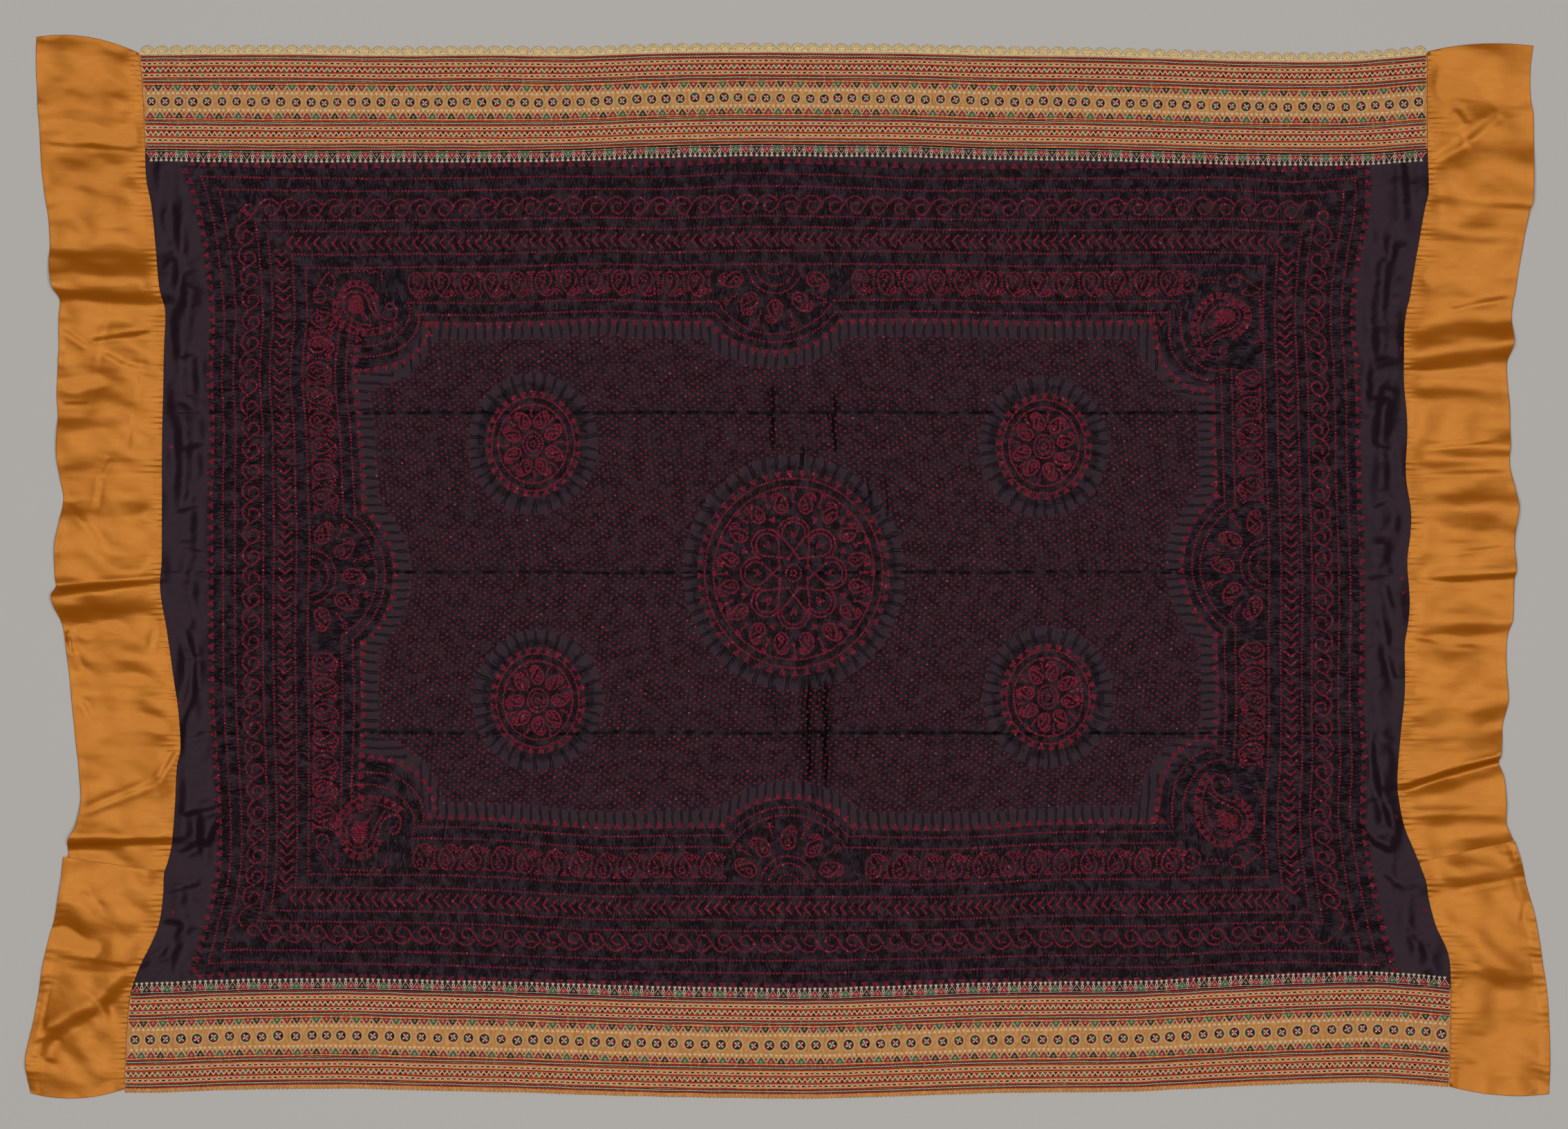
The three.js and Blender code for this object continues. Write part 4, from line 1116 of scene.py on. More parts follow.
# Cloth turned under at its open edges: a line of corners just inside each edge, and two more
# past it, down and then back inside.
def turnUnder(x, y, z, edges, depth=7.0, drop=0.8, inside=0.7):
    for edge in edges:
        axis = 1 if edge in ("left", "right") else 0
        first = edge in ("left", "top")
        end = 0 if first else -1
        rim = [np.take(grid, [end], axis) for grid in (x, y, z)]
        inner = [np.take(grid, [1 if first else -2], axis) for grid in (x, y, z)]
        dx, dy = inner[0] - rim[0], inner[1] - rim[1]
        length = np.hypot(dx, dy)
        low = np.maximum(rim[2] - drop, 0.12)
        down = (rim[0], rim[1], low)
        back = (rim[0] + dx / length * depth, rim[1] + dy / length * depth, low)
        turned = []
        for grid, *lines in zip((x, y, z), back, down, rim, inner):
            lines[3] = mix(lines[2], lines[3], inside / length)
            lines.append(np.delete(grid, end, axis))
            turned.append(np.concatenate(lines if first else lines[::-1], axis))
        x, y, z = turned
    return x, y, z


# A length of satin: v runs down its rows and u from its outer edge to the seam.
# Height is that of the rows, eased from outside to midway to the seam, with gathers, ripples
# and creases on it.
def satinLength(rows, outward, seamX, hemmed, seed):
    rows = np.array(rows, float)
    numbers = np.arange(len(rows))
    curves = [smoothCurve(numbers, rows[:, i]) for i in range(7)]
    fine = np.linspace(0, len(rows) - 1, 4000)
    seam = curves[0](fine)
    count = int(abs(seam[-1] - seam[0]) / satinCloth["pitchDown"])
    v = np.interp(np.linspace(seam[0], seam[-1], count), seam[::-1], fine[::-1])[:, None]
    u = (np.linspace(0, 1, satinCloth["columns"]) ** 0.9)[None, :]
    seamY, outerX, outerY, bow, outer, middle, inner = [curve(v) for curve in curves]
    outer, middle, inner = [np.maximum(lift, 0) for lift in (outer, middle, inner)]
    x = mix(outerX, seamX(seamY) + outward * halfGap, u)
    y = mix(outerY, seamY, u) + bow * 4 * u * (1 - u)
    lift = np.where(u < 0.5, mix(outer, middle, ease(2 * u)), mix(middle, inner, ease(2 * u - 1)))
    height = satinCloth["height"] + lift
    toSeam = np.abs(x - seamX(seamY))
    toEdge = np.hypot(x - outerX, y - outerY)
    # gathers: small tucks at the seam, each of its own length
    tuck = y * 6.283 / satinCloth["gatherPitch"] + 1.6 * drift(x * 0.2, y, 45, seed)
    tuckLength = 9 + 7 * drift(x * 0, y, 26, seed + 1) + 4 * drift(x * 0, y, 9, seed + 2)
    fade = np.exp(-(toSeam / np.maximum(tuckLength, 3.5)) ** 1.5)
    height = height + satinCloth["gather"] * np.sin(tuck) * fade
    # longer soft ripples across the width, and slight diagonal pulls
    spread = ease(toSeam / 25)
    height = height + 2.6 * spread * drift(x * 0.4, y + 0.15 * x, 84, seed + 3)
    height = height + 0.13 * spread * drift(x * 0.5, y + 0.1 * x, 15, seed + 4)
    height = height + 1.3 * spread * drift(x + y * 0.6, y - x * 0.4, 64, seed + 5)
    height = height + creaseHeight(x, y)
    if hemmed:
        hem = ease((11.5 - toEdge) / 1.2)
        groove = np.exp(-((toEdge - 11.2) / 1.3) ** 2)
        height = height + 0.55 * hem - 0.5 * groove
        wave = np.sin(y * 6.283 / 9 + 2 * drift(x, y, 40, seed + 6))
        height = height + 0.3 * np.exp(-(toEdge / 16) ** 2) * wave
    else:
        height = height + 0.3 * ease((5 - toEdge) / 1.5) * (1 + 0.6 * drift(x, y, 22, seed + 7))
    return x, y, np.maximum(height, 0.5)


def makeSatin():
    material, tree, shader = newMaterial("satin", Roughness=0.35, IOR=1.7,
                                         Specular_IOR_Level=1.0,
                                         Specular_Tint=(0.76, 0.34, 0.08, 1))
    place = objectPlace(tree)
    streaks = addNode(tree, "ShaderNodeMapping", {"Scale": (25.0, 500.0, 1.0)}, {"Vector": place})
    streak = addNode(tree, "ShaderNodeTexNoise", {"Scale": 1.0, "Detail": 5.0, "Roughness": 0.65},
                     {"Vector": streaks.outputs[0]})
    base = mixColour(tree, patchesAt(tree, place, 90.0), (0.235, 0.058, 0.001, 1),
                     (0.30, 0.080, 0.002, 1))
    toned = mixColour(tree, times(tree, streak.outputs["Fac"], 0.25), base,
                      (0.20, 0.046, 0.001, 1))
    tree.links.new(toned, shader.inputs["Base Color"])
    height = plus(tree, times(tree, weaveAt(tree, place, 0.45).outputs["Height"], 0.3),
                  times(tree, streak.outputs["Fac"], 0.5))
    addBump(tree, shader, height, 0.00016)
    return material


satin = makeSatin()
satinPieces = {}
for name, rows, outward, seamX, hemmed, openEdges in (
        ("satin_left_upper", leftUpperRows, -1, leftSeamX, False, ("left", "top")),
        ("satin_left_lower", leftLowerRows, -1, leftSeamX, True, ("left", "bottom")),
        ("satin_right_upper", rightUpperRows, 1, rightSeamX, False, ("right", "top")),
        ("satin_right_lower", rightLowerRows, 1, rightSeamX, True, ("right", "bottom"))):
    x, y, z = satinLength(rows, outward, seamX, hemmed, 100 + 10 * len(satinPieces))
    if outward > 0:             # columns run to the right on both sides
        x, y, z = x[:, ::-1], y[:, ::-1], z[:, ::-1]
    x, y, z = turnUnder(x, y, z, openEdges)
    points = np.stack([x, y, z], -1).reshape(-1, 3)
    uv = np.stack([(points[:, 0] + 950) / 1900, (points[:, 1] + 670) / 1340], -1)
    satinPieces[name] = makePiece(f"{name}_cloth", points, gridFaces(*x.shape), satin, "satin",
                                  [name], uv=uv)
print("satin made")

# ---- embroidered bands
bandCloth = {"height": 1.4, "pitch": 3.2, "rows": 36, "pucker": 0.42}


def bandHeight(x, share, seed):
    # low ridges between the roundels and slighter tucks above and below, each a little uneven
    middle = ease(1 - np.abs(share - 0.5) / 0.13)
    wave = np.sin(x * 6.283 / 9.4 + 1.2 * drift(x, share * 100, 60, seed))
    rest = np.sin(x * 6.283 / 12.6 + 2.0 * drift(x, share * 200, 40, seed + 1))
    return (bandCloth["height"] + bandCloth["pucker"] * wave * middle
            + 0.18 * rest * (1 - middle) + 0.25 * drift(x, share * 113, 70, seed + 2))


class Band:
    # one band: its edges, its mesh and the place and height of anything sewn on it
    def __init__(self, upperY, lowerY, seed):
        self.upperY, self.lowerY, self.seed = upperY, lowerY, seed
        u, share = np.meshgrid(np.linspace(0, 1, int(1600 / bandCloth["pitch"])),
                               np.linspace(0, 1, bandCloth["rows"]))
        x = mix(-800.0, 790.0, u)
        for _ in range(4):
            y = mix(upperY(x) - halfGap, lowerY(x) + halfGap, share)
            x = mix(leftSeamX(y) + halfGap, rightSeamX(y) - halfGap, u)
        self.x, self.y, self.u = x, y, u
        self.z = bandHeight(x, share, seed)

    def place(self, x, share):
        return x, mix(self.upperY(x), self.lowerY(x), share)

    def surface(self, x, y):
        share = (y - self.upperY(x) + halfGap) / (self.lowerY(x) - self.upperY(x) + 2 * halfGap)
        u = (x - leftSeamX(y) - halfGap) / (rightSeamX(y) - leftSeamX(y) - 2 * halfGap)
        beyond = (share > 1) if self.upperY is topUpperY else (share < 0)
        return np.where(beyond, onField(x, y), sampled(self.z, share, u))


def makeBandSilk():
    material, tree, shader = newMaterial("bandSilk", Roughness=0.45, IOR=1.6,
                                         Specular_IOR_Level=0.7,
                                         Specular_Tint=(1.0, 0.66, 0.3, 1))
    place = objectPlace(tree)
    wrinkle = wrinklesAt(tree, place, 0.0, 4.0, 4.0)
    base = mixColour(tree, patchesAt(tree, place, 30.0), (0.30, 0.098, 0.015, 1),
                     (0.385, 0.138, 0.024, 1))
    # painted shade: the colour darkens in the wrinkles' creases
    dark = mixColour(tree, times(tree, minus(tree, 1.0, wrinkle), 0.3), base,
                     (0.22, 0.075, 0.02, 1))
    tree.links.new(dark, shader.inputs["Base Color"])
    height = plus(tree, wrinkle, times(tree, weaveAt(tree, place, 0.6).outputs["Height"], 0.2))
    addBump(tree, shader, height, 0.00025)
    return material


bandSilk = makeBandSilk()
bands = {"top": Band(topUpperY, topLowerY, 211), "bottom": Band(bottomUpperY, bottomLowerY, 231)}
for key, band in bands.items():
    points = np.stack([band.x, band.y, band.z], -1).reshape(-1, 3)
    uv = np.stack([band.u, 0 * band.u + np.linspace(0, 0.08, bandCloth["rows"])[:, None]], -1)
    makePiece(f"border_{key}_cloth", points, gridFaces(*band.x.shape), bandSilk,
                                "band_silk", [f"border_{key}"], uv=uv.reshape(-1, 2))
print("bands made")

# ---- embroidery: silk thread in chain stitch, standing a little off the band
# Rows lie at steps across the band from its upper edge, "depth" steps in all.
bandRows = {
    "top": {"depth": 132.0, "lines": (1.8, 7.8, 16.4, 24.6, 32.8, 38.8, 91.6, 98.2, 105.8, 115.6,
                                      124.6, 129.6),
            "braids": (4.6, 35.8, 95.0, 126.9), "lenses": (11.8, 28.7, 102.0, 119.9),
            "zigzags": (20.4, 110.4), "beads": (41.2, 90.2), "hanging": 41.8, "roundels": 65.4,
            "standing": 89.2, "roundelPitch": 17.7, "roundelSize": 1.0, "fringe": 135.9,
            "fringeBeads": 134.6, "fringeTurn": 0.0},
    "bottom": {"depth": 142.7, "lines": (1.3, 6.5, 15.2, 24.5, 31.6, 37.4, 96.3, 102.6, 111.8,
                                         121.9, 130.5, 136.4),
               "braids": (3.9, 34.5, 99.4, 133.5), "lenses": (10.9, 27.9, 107.5, 126.1),
               "zigzags": (19.9, 117.1), "beads": (39.2, 94.0), "hanging": 40.0, "roundels": 66.3,
               "standing": 93.6, "roundelPitch": 19.6, "roundelSize": 1.07, "fringe": -2.4,
               "fringeBeads": -1.7, "fringeTurn": np.pi, "puckers": 140.0},
}
threadColours = {
    "cream": (0.62, 0.50, 0.34, 1), "tan": (0.47, 0.34, 0.18, 1),
    "red": (0.25, 0.008, 0.018, 1), "madder": (0.27, 0.016, 0.009, 1),
    "green": (0.024, 0.105, 0.050, 1), "black": (0.010, 0.007, 0.008, 1)}
fillCycle = ("red", "black", "red", "green")


def asTriangles(faces):
    if faces.shape[1] == 3:
        return faces
    return np.vstack([faces[:, [0, 1, 2]], faces[:, [0, 2, 3]]])


# A thread along a path: low at both sides and high along its middle.
def threadAlong(x, y, width, rise, height):
    dx, dy = np.gradient(x), np.gradient(y)
    length = np.hypot(dx, dy)
    nx, ny = -dy / length * width / 2, dx / length * width / 2
    px, py = np.stack([x - nx, x, x + nx], -1), np.stack([y - ny, y, y + ny], -1)
    pz = height(px, py) + np.array([0.05, rise, 0.05])
    return np.stack([px, py, pz], -1).reshape(-1, 3), asTriangles(gridFaces(len(x), 3))


def onTable(x, y):
    return np.zeros_like(x)


# The same as a small shape in its own millimetres, to be set down many times.
def stroke(points, width, rise=0.5):
    points = np.array(points, float)
    return threadAlong(points[:, 0], points[:, 1], width, rise, onTable)


def ring(radius, width, sides, rise=0.5):
    turn = np.arange(sides + 1) * 2 * np.pi / sides
    return threadAlong(radius * np.cos(turn), radius * np.sin(turn), width, rise, onTable)


# Satin-stitched patch: its rim low and its middle raised.
def patch(outline, rise=0.4, middle=None):
    outline = np.array(outline, float)
    centre = outline.mean(0) if middle is None else np.array(middle)
    count = len(outline)
    points = np.vstack([np.c_[outline, np.full(count, 0.08)], [(*centre, rise)]])
    return points, np.array([(k, (k + 1) % count, count) for k in range(count)])


def joined(*shapes):
    points, faces, count = [], [], 0
    for p, f in shapes:
        points.append(p)
        faces.append(f + count)
        count += len(p)
    return np.vstack(points), np.vstack(faces)


def raised(shape, rise):
    return shape[0] + (0, 0, rise), shape[1]


def oval(halfWidth, halfHeight, sides=8, rise=0.4):
    turn = np.arange(sides) * 2 * np.pi / sides
    return patch(np.c_[halfWidth * np.cos(turn), halfHeight * np.sin(turn)], rise)


def prong(x0, y0, x1, y1, width):
    dx, dy = (x1 - x0), (y1 - y0)
    nx, ny = -dy / np.hypot(dx, dy) * width / 2, dx / np.hypot(dx, dy) * width / 2
    mx, my = mix(x0, x1, 0.6), mix(y0, y1, 0.6)
    points = np.array([(x0, y0, 0.45), (mx - nx, my - ny, 0.1), (x1, y1, 0.4),
                       (mx + nx, my + ny, 0.1)])
    return points, np.array([(0, 1, 2), (0, 2, 3)])


tassel = joined(prong(0, 0.6, -2.0, -3.4, 1.2), prong(0, 0.6, 0, -3.9, 1.2),
                prong(0, 0.6, 2.0, -3.4, 1.2))
bead = oval(0.95, 0.7, 6, 0.7)
lensFill = patch([(-2.6, 0), (-1.3, -1.0), (1.3, -1.0), (2.6, 0), (1.3, 1.0), (-1.3, 1.0)])
toothFill = patch([(-2.5, 1.9), (0, -1.9), (2.5, 1.9)], 0.35)
pointFill = patch([(-5.3, -0.2), (0, -7.3), (5.3, -0.2)], 0.35)
pointEdge = stroke([(-6.0, -0.9), (-3.0, -4.3), (0, -8.1), (3.0, -4.3), (6.0, -0.9)], 1.0, 0.45)
pointTrim = stroke([(-5.95, -1.9), (-4.6, -2.9), (-2.6, -5.9), (0, -9.0), (2.6, -5.9),
                    (4.6, -2.9), (5.95, -1.9)], 0.85, 0.55)
smallDiamond = stroke([(0, -1.3), (1.35, -2.7), (0, -4.1), (-1.35, -2.7), (0, -1.3)], 0.75, 0.75)
archFill = patch([(-6.3, 0), (-3.2, -3.6), (0, -8.0), (3.2, -3.6), (6.3, 0)], 0.35, (0, -2.5))
archTrim = stroke([(-6.6, -1.3), (-5.3, -1.5), (-3.4, -4.0), (0, -8.9), (3.4, -4.0), (5.3, -1.5),
                   (6.6, -1.3)], 0.85, 0.6)
ovalFill, ovalTrim = oval(1.15, 1.9), ring(1.0, 0.6, 8)
ovalTrim = (ovalTrim[0] * (1.5, 2.3, 1), ovalTrim[1])
roundelTrim, roundelRing = ring(6.7, 1.45, 26, 0.5), ring(4.8, 1.25, 20, 0.6)
roundelArms = joined(*[prong(0, 0, 4.3 * np.cos(a), 4.3 * np.sin(a), 1.75)
                       for a in np.radians((45, 135, 225, 315))])
quarter = np.radians([-45, -20, 0, 20, 45])
roundelFill = patch(np.vstack([[(0, 0)], np.c_[4.4 * np.cos(quarter), 4.4 * np.sin(quarter)]]), 0.3)
hemPucker = patch([(-1.7, -2.9), (1.2, -2.9), (1.7, 2.5), (-1.4, 2.5)], 0.75)
braidLeft = raised(patch([(-0.95, -0.8), (-0.3, -0.9), (0.75, 0.8), (0.15, 0.9)], 0.5), 0.5)
braidRight = (braidLeft[0] * (1, -1, 1), braidLeft[1][:, ::-1])


class Sewing:
    # the stitches of one band, gathered by the colour of their thread
    def __init__(self, band, rows):
        self.band, self.rows, self.parts = band, rows, {}

    def add(self, colour, shape):
        self.parts.setdefault(colour, []).append(shape)

    def share(self, step):
        return step / self.rows["depth"]

    def ends(self, step):
        left, right = -790.0, 790.0
        for _ in range(3):
            left = leftSeamX(self.band.place(left, self.share(step))[1]) + 1.3
            right = rightSeamX(self.band.place(right, self.share(step))[1]) - 1.3
        return float(left), float(right)

    # a row's divisions, each a little longer or shorter than the next
    def divide(self, step, pitch, seed, wander=0.05):
        left, right = self.ends(step)
        rng = np.random.default_rng(seed)
        widths = np.maximum(1 + wander * rng.normal(0, 1, int(round((right - left) / pitch))), 0.6)
        edges = left + (right - left) * np.r_[0, np.cumsum(widths)] / widths.sum()
        return edges, (edges[:-1] + edges[1:]) / 2

    # how far a row strays from its place, slowly along the band
    def stray(self, x, step, amount=0.35):
        return amount * drift(x, step * 9.0, 60, 300)

    def line(self, colour, step, width, rise, x=None, offset=0.0):
        if x is None:
            x = np.linspace(*self.ends(step), 330)
        y = self.band.place(x, self.share(step))[1] + self.stray(x, step) + offset
        self.add(colour, threadAlong(x, y, width, rise, self.band.surface))

    def setRow(self, colour, shape, step, x, turn=0.0, scale=1.0, offset=0.0):
        if not len(x):
            return
        y = self.band.place(x, self.share(step))[1] + self.stray(x, step) + offset
        each = np.ones(len(x))
        self.add(colour, scatter(*raised(shape, 0.12), x, y, turn * each, scale * each,
                                 self.band.surface))

    def cycle(self, shape, step, x, first=0, **place):
        for number, colour in enumerate(fillCycle):
            at = (np.arange(len(x)) + first) % 4 == number
            picked = {key: value[at] if isinstance(value, np.ndarray) else value
                      for key, value in place.items()}
            self.setRow(colour, shape, step, x[at], **picked)


# the pointed rows' pitch, shapes, and how far out their ovals and tassels stand
pointRow = {"pitch": 12.0, "fill": pointFill, "edge": "black", "edgeScale": 1.0,
            "trim": pointTrim, "ovals": 5.4, "ovalTrim": None, "tassels": (9.2, 8.9)}
fringeRow = {"pitch": 13.0, "fill": archFill, "edge": "madder", "edgeScale": 1.03,
             "trim": archTrim, "ovals": 5.6, "ovalTrim": ovalTrim, "tassels": (9.1, 8.9)}


# A row of points with an oval and a bead between each two, and tassels past them.
def sewPoints(sewing, kind, step, turn, seed, beadStep, beadOffset):
    edges, middles = sewing.divide(step, kind["pitch"], seed)
    side = -1 if turn else 1
    sewing.cycle(kind["fill"], step, middles, seed, turn=turn)
    sewing.setRow(kind["edge"], pointEdge, step, middles, turn, kind["edgeScale"])
    sewing.setRow("cream", kind["trim"], step, middles, turn)
    sewing.setRow("cream", smallDiamond, step, middles, turn)
    between = edges[1:-1]
    sewing.cycle(ovalFill, step, between, seed + 1, turn=turn, offset=-side * kind["ovals"])
    if kind["ovalTrim"]:
        sewing.setRow("cream", kind["ovalTrim"], step, between, turn,
                      offset=-side * kind["ovals"])
    for places, out in zip((middles, between), kind["tassels"]):
        sewing.setRow("cream", tassel, step, places, turn, offset=-side * out)
    sewing.setRow("cream", bead, beadStep, between, turn, offset=side * beadOffset)


def sewBand(key):
    sewing = Sewing(bands[key], bandRows[key])
    rows = sewing.rows
    for step in rows["lines"]:
        sewing.line("madder", step, 1.8, 0.45)
    for number, step in enumerate(rows["braids"]):
        sewing.line("black", step, 3.6, 0.55)
        _, middles = sewing.divide(step, 1.62, 400 + number, 0.04)
        sewing.setRow("gold", braidLeft, step, middles[::2], offset=0.1)
        sewing.setRow("gold", braidRight, step, middles[1::2], offset=-0.1)
    for number, step in enumerate(rows["lenses"]):
        edges, middles = sewing.divide(step, 7.0, 420 + number)
        sewing.cycle(lensFill, step, middles, number)
        # two threads that cross between each two lenses
        count = np.arange(len(edges))
        fine = np.linspace(0, len(edges) - 1, 4 * (len(edges) - 1) + 1)
        x = np.interp(fine, count, edges)
        swing = 1.75 * np.sin(np.pi * fine)
        sewing.line("cream", step, 0.68, 0.5, x, swing)
        sewing.line("cream", step, 0.68, 0.55, x, -swing)
    for number, step in enumerate(rows["zigzags"]):
        edges, middles = sewing.divide(step, 6.5, 440 + number)
        sewing.cycle(toothFill, step, middles, number, turn=0.0, offset=1.0)
        sewing.cycle(toothFill, step, edges[1:-1], number + 1, turn=np.pi, offset=-1.0)
        x = np.sort(np.r_[edges, middles])
        swing = np.where(np.arange(len(x)) % 2 == 0, 2.3, -2.3)
        sewing.line("cream", step, 1.5, 0.65, x, swing)
    sewPoints(sewing, pointRow, rows["hanging"], 0.0, 460, rows["hanging"], 0.7)
    sewPoints(sewing, pointRow, rows["standing"], np.pi, 470, rows["standing"], 0.7)
    sewPoints(sewing, fringeRow, rows["fringe"], rows["fringeTurn"], 480, rows["fringeBeads"], 0.0)
    outwards = -1 if rows["fringeTurn"] else 1
    sewing.line("black", rows["fringe"] - outwards * 2.6, 1.6, 0.5)
    sewing.line("cream", rows["fringe"] - outwards * 0.9, 0.45, 0.45)
    # roundels, each turned its own way
    _, middles = sewing.divide(rows["roundels"], rows["roundelPitch"], 490)
    rng = np.random.default_rng(491)
    count = len(middles)
    turn, size = rng.normal(0, 0.16, count), rows["roundelSize"] * rng.uniform(0.94, 1.06, count)
    offset = rng.normal(0, 0.55, count)
    facing = rng.integers(0, 4, count) * np.pi / 2
    for shape, colour in ((roundelTrim, "tan"), (roundelRing, "black"), (roundelArms, "cream")):
        sewing.setRow(colour, raised(shape, 0.25), rows["roundels"], middles, turn, size, offset)
    for number, colour in enumerate(("red", "green", "red", "black")):
        sewing.setRow(colour, raised(roundelFill, 0.25), rows["roundels"], middles,
                      turn + facing + number * np.pi / 2, size, offset)
    if key == "bottom":         # puckers of the turned-under hem
        _, middles = sewing.divide(rows["puckers"], 4.8, 495, 0.12)
        sewing.setRow("hem", hemPucker, rows["puckers"], middles)
    return sewing


# Thread: its colour a little uneven from stitch to stitch, with a fine twist.
def makeThread(name, colour, roughness=0.6, metallic=0.0):
    material, tree, shader = newMaterial(name, Roughness=roughness, Metallic=metallic,
                                         Specular_IOR_Level=0.1)
    patches = patchesAt(tree, objectPlace(tree), 1.6)
    dark = tuple(0.5 * value for value in colour[:3]) + (1,)
    light = tuple(min(1.25 * value, 0.9) for value in colour[:3]) + (1,)
    tree.links.new(mixColour(tree, patches, dark, light), shader.inputs["Base Color"])
    addBump(tree, shader, patches, 0.0004)
    return material


threadMaterials = {colour: makeThread(f"{colour}Thread", value)
                   for colour, value in threadColours.items()}
threadMaterials["hem"] = bandSilk
threadMaterials["gold"] = makeThread("goldThread", (0.62, 0.52, 0.34, 1), 0.4, 0.3)
for key in bands:
    sewing = sewBand(key)
    for colour, shapes in sewing.parts.items():
        points, faces = joined(*shapes)
        makePiece(f"stitches_{key}_{colour}", points, faces, threadMaterials[colour], "band_silk")
        print("stitches", key, colour, len(faces))

# ---- the cloths' edges pressed flat below each seam, seen only between two cloths
seamAllowance = {"width": 6.0, "rise": 0.2}


def underSeam(x, y):
    return threadAlong(x, y, seamAllowance["width"], seamAllowance["rise"], onTable)


acrossVeil = np.linspace(-786, 780, 300)
darkEdges = [underSeam(acrossVeil, edgeY(acrossVeil)) for edgeY in (topLowerY, bottomUpperY)]
satinEdges = []
for upperRows, lowerRows, seamX in ((leftUpperRows, leftLowerRows, leftSeamX),
                                    (rightUpperRows, rightLowerRows, rightSeamX)):
    downSeam = np.linspace(upperRows[0][0] - 2, lowerRows[-1][0] + 2, 260)
    darkEdges.append(underSeam(seamX(downSeam), downSeam))
    seamY, outerX, outerY = lowerRows[0][:3]
    share = np.linspace(0.03, 0.98, 40)
    satinEdges.append(underSeam(mix(outerX, float(seamX(seamY)), share), mix(outerY, seamY, share)))
makePiece("seams_dark", *joined(*darkEdges), darkSilk, "dark_silk")
makePiece("seams_satin", *joined(*satinEdges), satin, "satin")
print("seams made")

# ---- lace: a net of metal thread in scallops
laceWork = {"scallops": 89, "foot": 5.0, "rise": 7.0, "height": 0.55, "columns": 12}


def footY(x):
    return topUpperY(x) + halfGap


def onLace(x, y):
    return np.full_like(x, laceWork["height"])


def makeMetalLace():
    material, tree, shader = newMaterial("metalLace", Roughness=0.45, Metallic=0.4,
                                         Specular_IOR_Level=0.3)
    patches = patchesAt(tree, objectPlace(tree), 2.2)
    tree.links.new(mixColour(tree, patches, (0.20, 0.13, 0.05, 1), (0.60, 0.46, 0.24, 1)),
                   shader.inputs["Base Color"])
    addBump(tree, shader, patches, 0.0006)
    return material


metalLace = makeMetalLace()
laceLeft = float(leftSeamX(634.0)) + 1
laceRight = float(rightSeamX(634.0)) - 1
scallopEdges = np.linspace(laceLeft, laceRight, laceWork["scallops"] + 1)
scallopMiddles = (scallopEdges[:-1] + scallopEdges[1:]) / 2
scallopHalf = (laceRight - laceLeft) / laceWork["scallops"] / 2


# Height of the lace's upper edge over its foot: a dome with steep sides between two notches.
def laceTop(x):
    share = ((x - laceLeft) / (2 * scallopHalf)) % 1.0
    return laceWork["foot"] + laceWork["rise"] * np.sqrt(np.sin(np.pi * np.clip(share, 0, 1)))


laceShare, laceX = np.meshgrid(np.linspace(1, 0, 6), np.linspace(
    laceLeft, laceRight, laceWork["scallops"] * laceWork["columns"] + 1), indexing="ij")
laceY = footY(laceX) + laceTop(laceX) * laceShare
laceZ = laceWork["height"] - 0.3 * ease((laceShare - 0.8) * 5) + 0.12 * np.sin(laceShare * 18)
laceNet = makePiece("lace_top_net", np.stack([laceX, laceY, laceZ], -1).reshape(-1, 3),
                    gridFaces(*laceX.shape), metalLace, "metal_lace", ["lace_top"])
laceParts = []
zeros, ones = np.zeros(len(scallopMiddles)), np.ones(len(scallopMiddles))
for radius, width in ((6.9, 1.3), (5.1, 1.1), (3.3, 1.0)):
    turn = np.radians(np.linspace(10, 170, 11))
    arc = np.c_[radius * 1.16 * np.cos(turn), radius * np.sin(turn) + 3.9]
    laceParts.append(scatter(*stroke(arc[::-1], width, 0.55), scallopMiddles,
                             footY(scallopMiddles), zeros, ones, onLace))
wave = np.linspace(laceLeft + 0.5, laceRight - 0.5, laceWork["scallops"] * laceWork["columns"])
laceParts.append(threadAlong(wave, footY(wave) + 1.0, 1.3, 0.5, onLace))
swing = 0.8 * np.cos((wave - laceLeft) * 2 * np.pi / scallopHalf)
laceParts.append(threadAlong(wave, footY(wave) + 3.4 + swing, 0.9, 0.5, onLace))
makePiece("lace_top_cords", *joined(*laceParts), metalLace, "metal_lace")
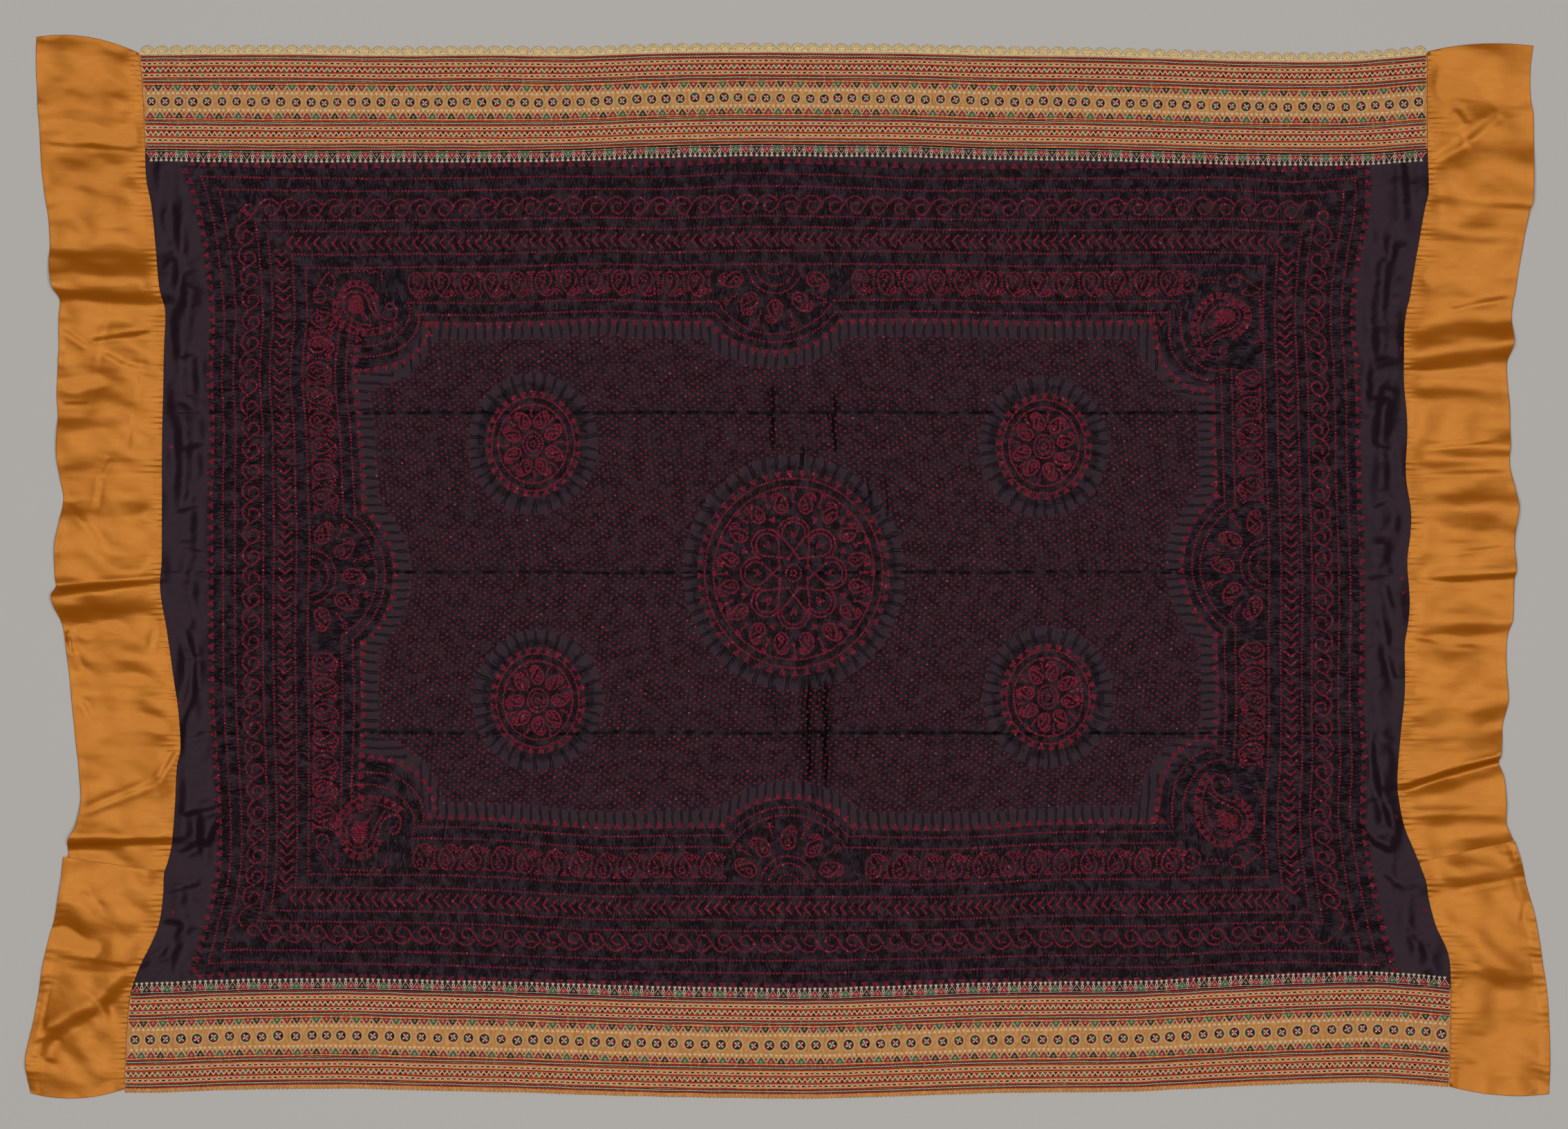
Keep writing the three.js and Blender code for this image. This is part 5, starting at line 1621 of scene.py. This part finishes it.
eyelets = np.r_[scallopMiddles - 5.4, scallopMiddles + 5.4]
shadeThread = makeThread("laceShade", (0.05, 0.03, 0.012, 1))
makePiece("lace_top_eyelets",
          *scatter(*raised(oval(0.85, 0.65, 6, 0.62), 0.25), eyelets, footY(eyelets) + 4.3,
                   np.r_[zeros, zeros], np.r_[ones, ones], onLace), shadeThread, "metal_lace")
print("lace made")

# ---- floor, light and camera
floorMesh = bpy.data.meshes.new("floor")
room = {"floorHalf": 9, "floorDrop": 0.0006, "key": 705.0, "keySize": (4.2, 3.2),
        "keyPlace": (0, 0.05, 8.6), "fill": 0.08}
floorMesh.from_pydata([(x * room["floorHalf"], y * room["floorHalf"], -room["floorDrop"])
                       for x, y in ((-1, -1), (1, -1), (1, 1), (-1, 1))], [], [(0, 1, 2, 3)])
floor = bpy.data.objects.new("floor", floorMesh)
bpy.context.scene.collection.objects.link(floor)
floorMesh.materials.append(
    newMaterial("paper", Roughness=0.9, Base_Color=(0.42, 0.405, 0.39, 1))[0])

keyData = bpy.data.lights.new("keyLight", "AREA")
keyData.shape, keyData.size, keyData.size_y = "RECTANGLE", *room["keySize"]
keyData.energy, keyData.color = room["key"], (1, 0.985, 0.965)
keyLight = bpy.data.objects.new("keyLight", keyData)
keyLight.location = room["keyPlace"]
bpy.context.scene.collection.objects.link(keyLight)
world = bpy.data.worlds.new("room")
world.use_nodes = True
world.node_tree.nodes["Background"].inputs["Color"].default_value = (0.95, 0.97, 1, 1)
world.node_tree.nodes["Background"].inputs["Strength"].default_value = room["fill"]
bpy.context.scene.world = world
bpy.context.scene.view_settings.view_transform = "Standard"

view = {"distance": 9.0, "width": 1.9346, "centre": (-0.0048, 0.0027), "sensor": 36}
cameraData = bpy.data.cameras.new("camera")
cameraData.sensor_width = view["sensor"]
cameraData.lens = view["sensor"] * view["distance"] / view["width"]
camera = bpy.data.objects.new("camera", cameraData)
camera.location = (*view["centre"], view["distance"])
bpy.context.scene.collection.objects.link(camera)
bpy.context.scene.camera = camera
